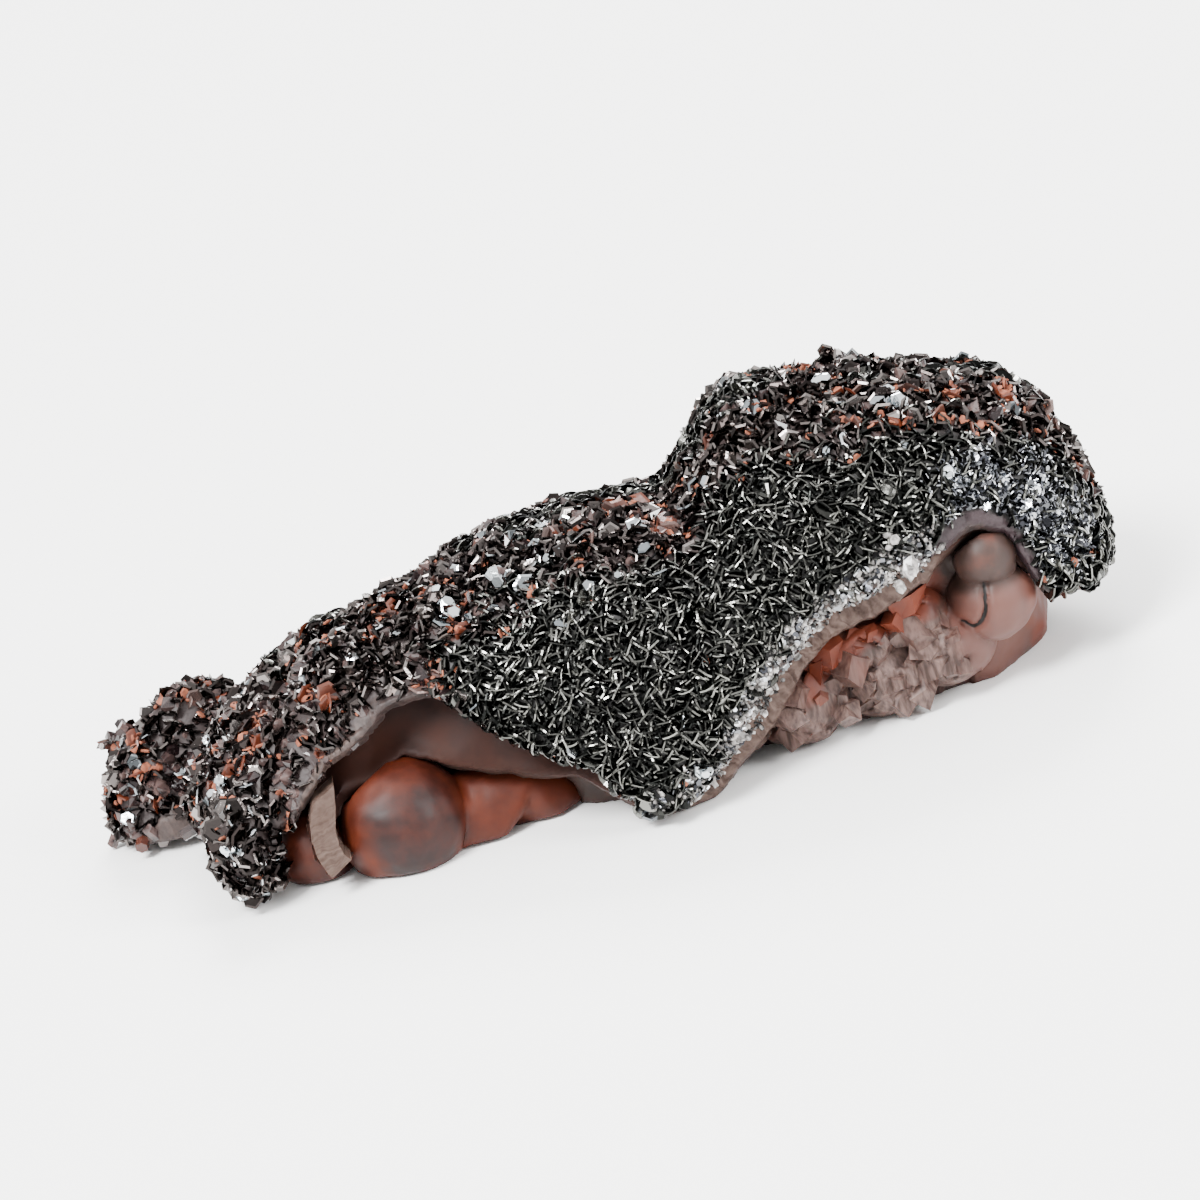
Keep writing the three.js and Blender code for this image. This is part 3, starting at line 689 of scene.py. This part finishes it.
# Sizes of the patterns, in metres
ETCHING = 0.35 * MM  # marks on the faces of the metal
GRAIN = 0.5 * MM  # grains of quartz and of iron oxide
FIBRES = 0.3 * MM  # streaks of a broken chip of chalcedony
MOTTLE = 0.8 * MM  # patches of the ground under the crystals
RIPPLE = 0.9 * MM  # uneven polish of the nodules
SWAY = 1.1 * MM  # bends of the quartz columns
CLOUD = 1.8 * MM  # clouds in the nodules
BANDING = 3.0 * MM  # slow changes on the lining of the left hollow
COLUMN_WIDTH = 0.34  # of the quartz, in the painted millimetres across the broken edge
# How far light goes into quartz and chalcedony
GLOW_DEPTH = 0.4 * MM
WAX_DEPTH = 0.5 * MM


def new_material(name):
    material = bpy.data.materials.new(name)
    material.use_nodes = True
    material.node_tree.nodes.clear()
    return material


def rust(tree, tone):
    """Where iron oxide lies on the crystals: in its painted patches, and not on every crystal."""
    iron = add(tree, "ShaderNodeAttribute", output="Fac", attribute_name="iron")
    share = add(tree, "ShaderNodeMapRange", {"Value": tone, "To Min": 0.2, "To Max": 1.2})
    patch = add(tree, "ShaderNodeMath", {0: iron, 1: share}, operation="MULTIPLY")
    return add(tree, "ShaderNodeMapRange", {"Value": patch, "From Min": 0.45, "From Max": 0.75})


def hematite_material(name, dark, bright, smooth, rough):
    """Specular hematite: a dark metallic oxide with mirror-smooth faces, dulled by rusty stains."""
    material = new_material(name)
    tree = material.node_tree
    place = add(tree, "ShaderNodeTexCoord", output="Object")
    tone = add(tree, "ShaderNodeAttribute", output="Fac", attribute_name="tone")
    etching = add(tree, "ShaderNodeTexNoise",
                  {"Vector": place, "Scale": 1 / ETCHING, "Detail": NOISE_DETAIL})
    mostly_dark = add(tree, "ShaderNodeMath", {0: tone, 1: 2.4}, operation="POWER")
    lustre = add(tree, "ShaderNodeMix", {FACTOR: mostly_dark, UNDER: dark, OVER: bright}, MIXED,
                 data_type="RGBA")
    stain = rust(tree, tone)
    dulled = add(tree, "ShaderNodeMath", {0: etching, 1: stain}, operation="ADD")
    shader = add(tree, "ShaderNodeBsdfPrincipled", {
        "Base Color": add(tree, "ShaderNodeMix", {FACTOR: stain, UNDER: lustre, OVER: RUST}, MIXED,
                          data_type="RGBA"),
        "Metallic": add(tree, "ShaderNodeMapRange", {"Value": stain, "To Min": 1.0, "To Max": 0.0}),
        "Roughness": add(tree, "ShaderNodeMapRange", {
            "Value": dulled, "From Min": 0.3, "From Max": 1.3, "To Min": smooth, "To Max": rough}),
        "Normal": add(tree, "ShaderNodeBump",
                      {"Height": etching, "Distance": 0.05 * MM, "Strength": 0.35}),
    })
    add(tree, "ShaderNodeOutputMaterial", {0: shader})
    return material


def point_material(name, low, high, roughness, translucency, stain_colour=None):
    """Quartz points: glassy, from dark smoky to milky, stained where iron oxide lies on them."""
    material = new_material(name)
    tree = material.node_tree
    place = add(tree, "ShaderNodeTexCoord", output="Object")
    tone = add(tree, "ShaderNodeAttribute", output="Fac", attribute_name="tone")
    veils = add(tree, "ShaderNodeTexNoise",
                {"Vector": place, "Scale": 1 / GRAIN, "Detail": NOISE_DETAIL})
    veiled = add(tree, "ShaderNodeMapRange", {"Value": veils, "From Min": 0.3, "From Max": 0.7})
    mixed = add(tree, "ShaderNodeMath", {0: tone, 1: veiled}, operation="MULTIPLY")
    milkiness = add(tree, "ShaderNodeMapRange",
                    {"Value": mixed, "From Min": 0.05, "From Max": 0.75})
    colour = add(tree, "ShaderNodeMix", {FACTOR: milkiness, UNDER: low, OVER: high}, MIXED,
                 data_type="RGBA")
    if stain_colour:
        colour = add(tree, "ShaderNodeMix",
                     {FACTOR: rust(tree, tone), UNDER: colour, OVER: stain_colour}, MIXED,
                     data_type="RGBA")
    shader = add(tree, "ShaderNodeBsdfPrincipled", {
        "Base Color": colour,
        "Roughness": add(tree, "ShaderNodeMapRange", {
            "Value": tone, "To Min": roughness[0], "To Max": roughness[1]}),
        "IOR": QUARTZ_IOR,
        "Subsurface Weight": translucency,
        "Subsurface Radius": (1.0, 0.7, 0.6),
        "Subsurface Scale": GLOW_DEPTH,
    })
    add(tree, "ShaderNodeOutputMaterial", {0: shader})
    return material


def iron_grain_material():
    """Earthy iron oxide: a matt brick-orange crust of tiny grains."""
    material = new_material("earthy_iron_oxide")
    tree = material.node_tree
    place = add(tree, "ShaderNodeTexCoord", output="Object")
    grains = add(tree, "ShaderNodeTexNoise",
                 {"Vector": place, "Scale": 1 / GRAIN, "Detail": NOISE_DETAIL})
    lightness = add(tree, "ShaderNodeMapRange", {"Value": grains, "From Min": 0.3, "From Max": 0.7})
    shader = add(tree, "ShaderNodeBsdfPrincipled", {
        "Base Color": add(tree, "ShaderNodeMix",
                          {FACTOR: lightness, UNDER: "#5c2a19", OVER: "#9c5c42"}, MIXED,
                          data_type="RGBA"),
        "Roughness": 0.85,
        "Normal": add(tree, "ShaderNodeBump",
                      {"Height": grains, "Distance": 0.08 * MM, "Strength": 0.6}),
    })
    add(tree, "ShaderNodeOutputMaterial", {0: shader})
    return material


def column_pattern(tree, place):
    """Streaks of constant value across the broken edge, from its painted millimetres."""
    along = add(tree, "ShaderNodeAttribute", output="Fac", attribute_name="along")
    bends = add(tree, "ShaderNodeTexNoise",
                {"Vector": place, "Scale": 1 / SWAY, "Detail": NOISE_DETAIL})
    sway = add(tree, "ShaderNodeMapRange", {"Value": bends, "To Min": -0.9, "To Max": 0.9})
    swayed = add(tree, "ShaderNodeMath", {0: along, 1: sway}, operation="ADD")
    streaks = add(tree, "ShaderNodeTexNoise",
                  {"W": swayed, "Scale": 1 / COLUMN_WIDTH, "Detail": NOISE_DETAIL},
                  noise_dimensions="1D")
    grains = add(tree, "ShaderNodeTexNoise",
                 {"Vector": place, "Scale": 1 / GRAIN, "Detail": NOISE_DETAIL})
    mixed = add(tree, "ShaderNodeMix", {"Factor": 0.5, "A": streaks, "B": grains})
    return add(tree, "ShaderNodeMapRange", {"Value": mixed, "From Min": 0.34, "From Max": 0.66})


def crust_material():
    """Ground of the druse, seen between crystals, and its columnar broken edge."""
    material = new_material("druse_ground")
    tree = material.node_tree
    place = add(tree, "ShaderNodeTexCoord", output="Object")
    painted = {
        layer: add(tree, "ShaderNodeAttribute", output="Fac", attribute_name=layer)
        for layer in ("earthy", "iron", "pale", "rim", "broken")
    }
    mottle = add(tree, "ShaderNodeTexNoise",
                 {"Vector": place, "Scale": 1 / MOTTLE, "Detail": NOISE_DETAIL})
    columns = column_pattern(tree, place)
    tones = {
        tone: add(tree, "ShaderNodeMix", {FACTOR: pattern, UNDER: dark, OVER: light}, MIXED,
                  data_type="RGBA")
        for tone, pattern, dark, light in [
            ("black", mottle, "#060505", "#120f0e"), ("earthy", mottle, "#180f0e", "#322423"),
            ("brown", columns, "#180e0c", "#33231f"), ("white", columns, "#32231e", "#66554e"),
        ]
    }
    stain = add(tree, "ShaderNodeMapRange",
                {"Value": painted["iron"], "From Min": 0.3, "From Max": 0.9})
    ground, edge = tones["black"], tones["brown"]
    for share, over in [(painted["earthy"], tones["earthy"]), (stain, "#471d10")]:
        ground = add(tree, "ShaderNodeMix", {FACTOR: share, UNDER: ground, OVER: over}, MIXED,
                     data_type="RGBA")
    for share, over in [(painted["pale"], tones["white"]), (painted["rim"], "#210f14")]:
        edge = add(tree, "ShaderNodeMix", {FACTOR: share, UNDER: edge, OVER: over}, MIXED,
                   data_type="RGBA")
    shader = add(tree, "ShaderNodeBsdfPrincipled", {
        "Base Color": add(tree, "ShaderNodeMix",
                          {FACTOR: painted["broken"], UNDER: ground, OVER: edge}, MIXED,
                          data_type="RGBA"),
        "Roughness": 0.6,
        "Normal": add(tree, "ShaderNodeBump",
                      {"Height": columns, "Distance": 0.06 * MM, "Strength": 0.6}),
    })
    add(tree, "ShaderNodeOutputMaterial", {0: shader})
    return material


def columnar_quartz_material(name, dark, pale):
    """Quartz grown in columns: greyish white where broken across, brown and smooth inside."""
    material = new_material(name)
    tree = material.node_tree
    place = add(tree, "ShaderNodeTexCoord", output="Object")
    broken = add(tree, "ShaderNodeAttribute", output="Fac", attribute_name="broken")
    columnar = add(tree, "ShaderNodeAttribute", output="Fac", attribute_name="columnar")
    banding = add(tree, "ShaderNodeTexNoise",
                  {"Vector": place, "Scale": 1 / BANDING, "Detail": NOISE_DETAIL})
    cloud = add(tree, "ShaderNodeMapRange", {"Value": banding, "From Min": 0.3, "From Max": 0.7})
    lining = add(tree, "ShaderNodeMix", {FACTOR: cloud, UNDER: "#1b0b08", OVER: "#30170f"}, MIXED,
                 data_type="RGBA")
    columns = column_pattern(tree, place)
    snapped = add(tree, "ShaderNodeMix", {FACTOR: columns, UNDER: dark, OVER: pale}, MIXED,
                  data_type="RGBA")
    colour = lining
    for share, over in [(broken, "#33231e"), (columnar, snapped)]:
        colour = add(tree, "ShaderNodeMix", {FACTOR: share, UNDER: colour, OVER: over}, MIXED,
                     data_type="RGBA")
    ridges = add(tree, "ShaderNodeMath", {0: columns, 1: columnar}, operation="MULTIPLY")
    shader = add(tree, "ShaderNodeBsdfPrincipled", {
        "Base Color": colour,
        "Roughness": add(tree, "ShaderNodeMapRange", {"Value": cloud, "To Min": 0.55, "To Max": 0.7}),
        "IOR": QUARTZ_IOR,
        "Specular IOR Level": 0.15,
        "Subsurface Weight": 0.15,
        "Subsurface Radius": (1.0, 0.7, 0.6),
        "Subsurface Scale": GLOW_DEPTH,
        "Normal": add(tree, "ShaderNodeBump",
                      {"Height": ridges, "Distance": 0.07 * MM, "Strength": 0.6}),
    })
    add(tree, "ShaderNodeOutputMaterial", {0: shader})
    return material


def chalcedony_material(name, greys, oranges):
    """Chalcedony: waxy, faintly translucent, grey shading to iron-stained orange."""
    material = new_material(name)
    tree = material.node_tree
    place = add(tree, "ShaderNodeTexCoord", output="Object")
    painted = {
        layer: add(tree, "ShaderNodeAttribute", output="Fac", attribute_name=layer)
        for layer in ("iron", "fragments", "deep", "blanched", "crack")
    }
    clouds = add(tree, "ShaderNodeTexNoise",
                 {"Vector": place, "Scale": 1 / CLOUD, "Detail": NOISE_DETAIL})
    cloud = add(tree, "ShaderNodeMapRange", {"Value": clouds, "From Min": 0.3, "From Max": 0.7})
    flat_place = add(tree, "ShaderNodeMapping", {"Vector": place, "Scale": (1.0, 1.0, 0.2)})
    fibres = add(tree, "ShaderNodeTexNoise",
                 {"Vector": flat_place, "Scale": 1 / FIBRES, "Detail": NOISE_DETAIL})
    streaks = add(tree, "ShaderNodeMapRange", {"Value": fibres, "From Min": 0.35, "From Max": 0.65})
    grey, orange, shard = (
        add(tree, "ShaderNodeMix", {FACTOR: pattern, UNDER: dark, OVER: light}, MIXED,
            data_type="RGBA")
        for pattern, dark, light in [
            (cloud, *greys), (cloud, *oranges), (streaks, "#33231e", "#65504a")]
    )
    faint = add(tree, "ShaderNodeMapRange", {"Value": cloud, "To Max": 0.5})
    iron = add(tree, "ShaderNodeMath", {0: painted["iron"], 1: faint}, operation="ADD")
    stain = add(tree, "ShaderNodeMapRange", {"Value": iron, "From Min": 0.3, "From Max": 1.15})
    crack = add(tree, "ShaderNodeMapRange",
                {"Value": painted["crack"], "From Min": 0.82, "From Max": 0.9})
    colour = grey
    for share, over in [
        # painted shade in the crevices between the broken chips, over the stain and the chips
        (stain, orange), (painted["fragments"], shard), (painted["deep"], "#1d110e"),
        # a paler patch, partly own colour and partly painted light, then the dark line of the crack
        (painted["blanched"], "#563831"), (crack, "#0d0706"),
    ]:
        colour = add(tree, "ShaderNodeMix", {FACTOR: share, UNDER: colour, OVER: over}, MIXED,
                     data_type="RGBA")
    ripples = add(tree, "ShaderNodeTexNoise",
                  {"Vector": place, "Scale": 1 / RIPPLE, "Detail": NOISE_DETAIL})
    shader = add(tree, "ShaderNodeBsdfPrincipled", {
        "Base Color": colour,
        "Roughness": add(tree, "ShaderNodeMapRange", {"Value": cloud, "To Min": 0.45, "To Max": 0.6}),
        "IOR": QUARTZ_IOR,
        "Specular IOR Level": 0.25,
        "Subsurface Weight": 0.12,
        "Subsurface Radius": (1.0, 0.5, 0.3),
        "Subsurface Scale": WAX_DEPTH,
        "Normal": add(tree, "ShaderNodeBump",
                      {"Height": ripples, "Distance": 0.05 * MM, "Strength": 0.4}),
    })
    add(tree, "ShaderNodeOutputMaterial", {0: shader})
    return material


def dress(obj, material, node):
    """Give a finished skin its material and slot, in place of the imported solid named."""
    obj.data.materials.clear()
    obj.data.materials.append(material)
    obj.data.shade_smooth()
    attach(obj, "root")
    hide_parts(node)


waxy = chalcedony_material(
    "waxy_chalcedony", ("#251814", "#3c2b26"), ("#461a0e", "#662d1b"))
# The left nodule's copy: redder, as that nodule is, and darker with painted shade for the hollow it
# sits in
waxy_shaded = chalcedony_material(
    "waxy_chalcedony_brown", ("#190503", "#2a0d07"), ("#350f04", "#4b1a06"))

# Crystals on the skins

BANDS = [-40.0, -12.0, 2.0, 12.0, 40.0]  # the coat is set in bands along x, each its own piece

flat_tree = crystal_tree("flat crystals", upright=False)
upright_tree = crystal_tree("upright crystals", upright=True)
blade = bent_blade()
plate = prism_rings("plate unit", [[0.5, -0.5], [0.5, 0.5]])
bevelled = prism_rings("bevelled plate unit", [[0.4, -0.5], [0.5, 0.0], [0.4, 0.5]])
quartz_point = prism_rings("quartz point unit", [[0.3, -0.5], [0.33, 0.15], [0.0, 0.55]])
flake = prism_rings("flake unit", [[0.4, -0.07], [0.5, 0.0], [0.42, 0.06]])
chip = broken_chip()

blade_metal = hematite_material("specular_hematite_blade", "#191a19", "#80807b", 0.14, 0.38)
plate_metal = hematite_material("specular_hematite_plate", "#2a2524", "#8c8582", 0.08, 0.32)
bright_metal = hematite_material("specular_hematite_mirror", "#7e8488", "#eef3f6", 0.06, 0.2)
frosty_metal = hematite_material("specular_hematite_frosty", "#45464b", "#eef1f6", 0.1, 0.3)
smoky = point_material("smoky_quartz_point", "#191112", "#5c4a47", (0.03, 0.14), 0.1, "#4f2212")
milky = point_material("milky_quartz_point", "#0b0909", "#d9d3cf", (0.2, 0.04), 0.05)

# What grows: its skin, tree, unit and material, the painted layer that it follows, a seed, and
# its sizes in millimetres and radians. Names of the pieces are these with the band's number.
GROWTHS = {
    "fine_blades": (coat, flat_tree, blade, blade_metal, "fine", 11, {
        "Spacing": 0.21, "Size": 0.82, "Size spread": 0.4, "Thickness": 0.17, "Lean": 0.4,
        "Spin": 0.3, "Sink": 0.0}),
    "tilted_plates": (coat, flat_tree, bevelled, plate_metal, "plates", 31, {
        "Spacing": 0.3, "Size": 1.0, "Size spread": 0.5, "Thickness": 0.13, "Lean": 0.7,
        "Spin": 3.0, "Sink": 0.0}),
    "smoky_points": (coat, upright_tree, quartz_point, smoky, "points", 51, {
        "Spacing": 0.7, "Size": 1.15, "Size spread": 0.45, "Lean": 0.8, "Sink": 0.25}),
    "smoky_crystals": (coat, upright_tree, quartz_point, smoky, "big_points", 61, {
        "Spacing": 0.65, "Size": 1.3, "Size spread": 0.35, "Lean": 0.6, "Sink": 0.38}),
    "oxide_grains": (coat, flat_tree, bevelled, iron_grain_material(), "iron", 71, {
        "Spacing": 0.3, "Size": 0.5, "Size spread": 0.5, "Thickness": 0.12, "Lean": 3.0,
        "Sink": -0.15}),
    "silver_plates": (coat, flat_tree, bevelled, bright_metal, "silver", 91, {
        "Spacing": 1.25, "Size": 0.95, "Size spread": 0.5, "Thickness": 0.12, "Lean": 3.0,
        "Sink": -0.22}),
    "milky_points": (coat, upright_tree, quartz_point, milky, "clear", 111, {
        "Spacing": 0.17, "Size": 0.36, "Size spread": 0.5, "Lean": 1.4, "Sink": -0.05}),
    "sugar_points": (quartz, upright_tree, quartz_point, milky, "clear", 116, {
        "Spacing": 0.17, "Size": 0.36, "Size spread": 0.5, "Lean": 1.4, "Sink": 0.02}),
    "sugar_glints": (coat, flat_tree, plate, frosty_metal, "clear", 118, {
        "Spacing": 0.36, "Size": 0.4, "Size spread": 0.5, "Thickness": 0.1, "Lean": 3.0,
        "Sink": -0.14}),
    "frosty_plates": (coat, flat_tree, plate, frosty_metal, "frosty", 131, {
        "Spacing": 0.17, "Size": 0.4, "Size spread": 0.4, "Thickness": 0.07, "Lean": 1.5,
        "Sink": -0.16}),
    "knob_plates": (coat, flat_tree, bevelled, plate_metal, "knob", 151, {
        "Spacing": 0.6, "Size": 1.2, "Size spread": 0.4, "Thickness": 0.15, "Lean": 1.2,
        "Sink": 0.0}),
    "knob_glints": (coat, flat_tree, bevelled, bright_metal, "knob", 161, {
        "Spacing": 0.85, "Size": 0.7, "Size spread": 0.5, "Thickness": 0.12, "Lean": 3.0,
        "Sink": -0.2}),
    "broken_chips": (matrix, upright_tree, chip, waxy, "chips", 171, {
        "Spacing": 0.9, "Size": 2.0, "Size spread": 0.45, "Thickness": 0.55, "Lean": 0.7,
        "Sink": 0.15}),
}

grown = []
for kind, (skin_obj, tree, unit, material, where, seed, sizes) in GROWTHS.items():
    for i, (low, high) in enumerate(zip(BANDS, BANDS[1:])):
        values = {**sizes, "From x": low, "To x": high, "Where": where, "Seed": seed + i,
                  "Unit": unit}
        crystals = grow(tree, f"{kind}_{i + 1}", skin_obj, material, values)
        if crystals:
            grown.append(crystals)

for name, unit, places, tone, material in [
    ("clear_crystals", quartz_point, CLEAR_CRYSTALS, 0.6, milky),
    ("silver_clusters", flake, SILVER_CLUSTERS, 0.8, bright_metal),
]:
    crystals = set_crystals(name, unit, places, tone)
    crystals.data.materials.append(material)
    grown.append(crystals)
for unit in (blade, plate, bevelled, quartz_point, flake, chip):
    bpy.data.objects.remove(unit)
for obj in grown:
    kind = obj.name.rsplit("_", 1)[0]
    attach(obj, "root")

dress(coat, crust_material(), "hematite_coat")
columnar = columnar_quartz_material("columnar_quartz", "#2d1e18", "#5f4e47")
dress(quartz, columnar, "quartz_layer")
slab_piece = broken_slab()
slab_piece.data.materials.append(
    columnar_quartz_material("columnar_quartz_slab", "#3b2c25", "#54443d"))
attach(slab_piece, "root")
dress(nodule_left, waxy_shaded, "chalcedony_nodule_left")
dress(matrix, waxy, "chalcedony_matrix")

# Floor, light and camera


FLOOR_SIZE = 8.0
# Place, side and power of each light, in metres and watts
LIGHTS = {
    "key_light": ((-0.30, -0.30, 0.60), 0.28, 15.0),
    "fill_light": ((0.55, -0.35, 0.35), 0.25, 6.0),
    "back_light": ((0.1, 0.55, 0.5), 0.3, 9.0),
}
WALL_LIGHT = [0.6, 2.85]  # of the walls near the horizon, and of the ceiling


def floor():
    bpy.ops.mesh.primitive_plane_add(size=FLOOR_SIZE, location=(0, 0, 0))
    obj = bpy.context.object
    obj.name = "floor"
    material = new_material("pale_board")
    tree = material.node_tree
    shader = add(tree, "ShaderNodeBsdfPrincipled", {"Base Color": "#fdfdfc", "Roughness": 0.8})
    add(tree, "ShaderNodeOutputMaterial", {0: shader})
    obj.data.materials.append(material)


def area_light(name, place, size, power):
    """A soft square light aimed at the specimen."""
    light = bpy.data.lights.new(name, "AREA")
    light.size = size
    light.energy = power
    obj = bpy.data.objects.new(name, light)
    obj.location = place
    obj.rotation_euler = (-Vector(place)).to_track_quat("-Z", "Y").to_euler()
    bpy.context.scene.collection.objects.link(obj)


floor()
for name, (place, size, power) in LIGHTS.items():
    area_light(name, place, size, power)


def studio_world():
    """Pale walls that darken towards the horizon, so that metallic faces show some contrast."""
    world = bpy.data.worlds.new("soft studio")
    world.use_nodes = True
    tree = world.node_tree
    tree.nodes.clear()
    direction = add(tree, "ShaderNodeTexCoord", output="Generated")
    height = add(tree, "ShaderNodeSeparateXYZ", {0: direction}, 2)
    brightness = add(tree, "ShaderNodeMapRange", {
        "Value": height, "From Min": 0.1, "From Max": 0.9,
        "To Min": WALL_LIGHT[0], "To Max": WALL_LIGHT[1]})
    background = add(tree, "ShaderNodeBackground", {0: "#f6f6f6", 1: brightness})
    add(tree, "ShaderNodeOutputWorld", {0: background})
    bpy.context.scene.world = world


studio_world()

VIEW_ELEVATION = 22.0
VIEW_ROLL = 16.0  # the specimen's length rises to the right in the picture
VIEW_DISTANCE = 0.3
VIEW_WIDTH = 67.4 * MM  # what the square picture spans at the target
VIEW_TARGET = Vector((1.10, -0.665, 9.41)) * MM
SENSOR = 36.0


def viewing_camera():
    """The camera in front of the specimen, raised, and rolled as the photograph is."""
    elevation, roll = np.radians([VIEW_ELEVATION, VIEW_ROLL])
    back = Vector((0.0, -np.cos(elevation), np.sin(elevation)))
    level = Vector((1.0, 0.0, 0.0))
    up = back.cross(level)
    right = np.cos(roll) * level - np.sin(roll) * up
    top = np.sin(roll) * level + np.cos(roll) * up
    data = bpy.data.cameras.new("camera")
    data.sensor_width = SENSOR
    data.lens = SENSOR * VIEW_DISTANCE / VIEW_WIDTH
    data.clip_start = 0.01
    obj = bpy.data.objects.new("camera", data)
    turn = Matrix((right, top, back)).transposed().to_4x4()
    obj.matrix_world = Matrix.Translation(VIEW_TARGET + back * VIEW_DISTANCE) @ turn
    bpy.context.scene.collection.objects.link(obj)
    bpy.context.scene.camera = obj


viewing_camera()
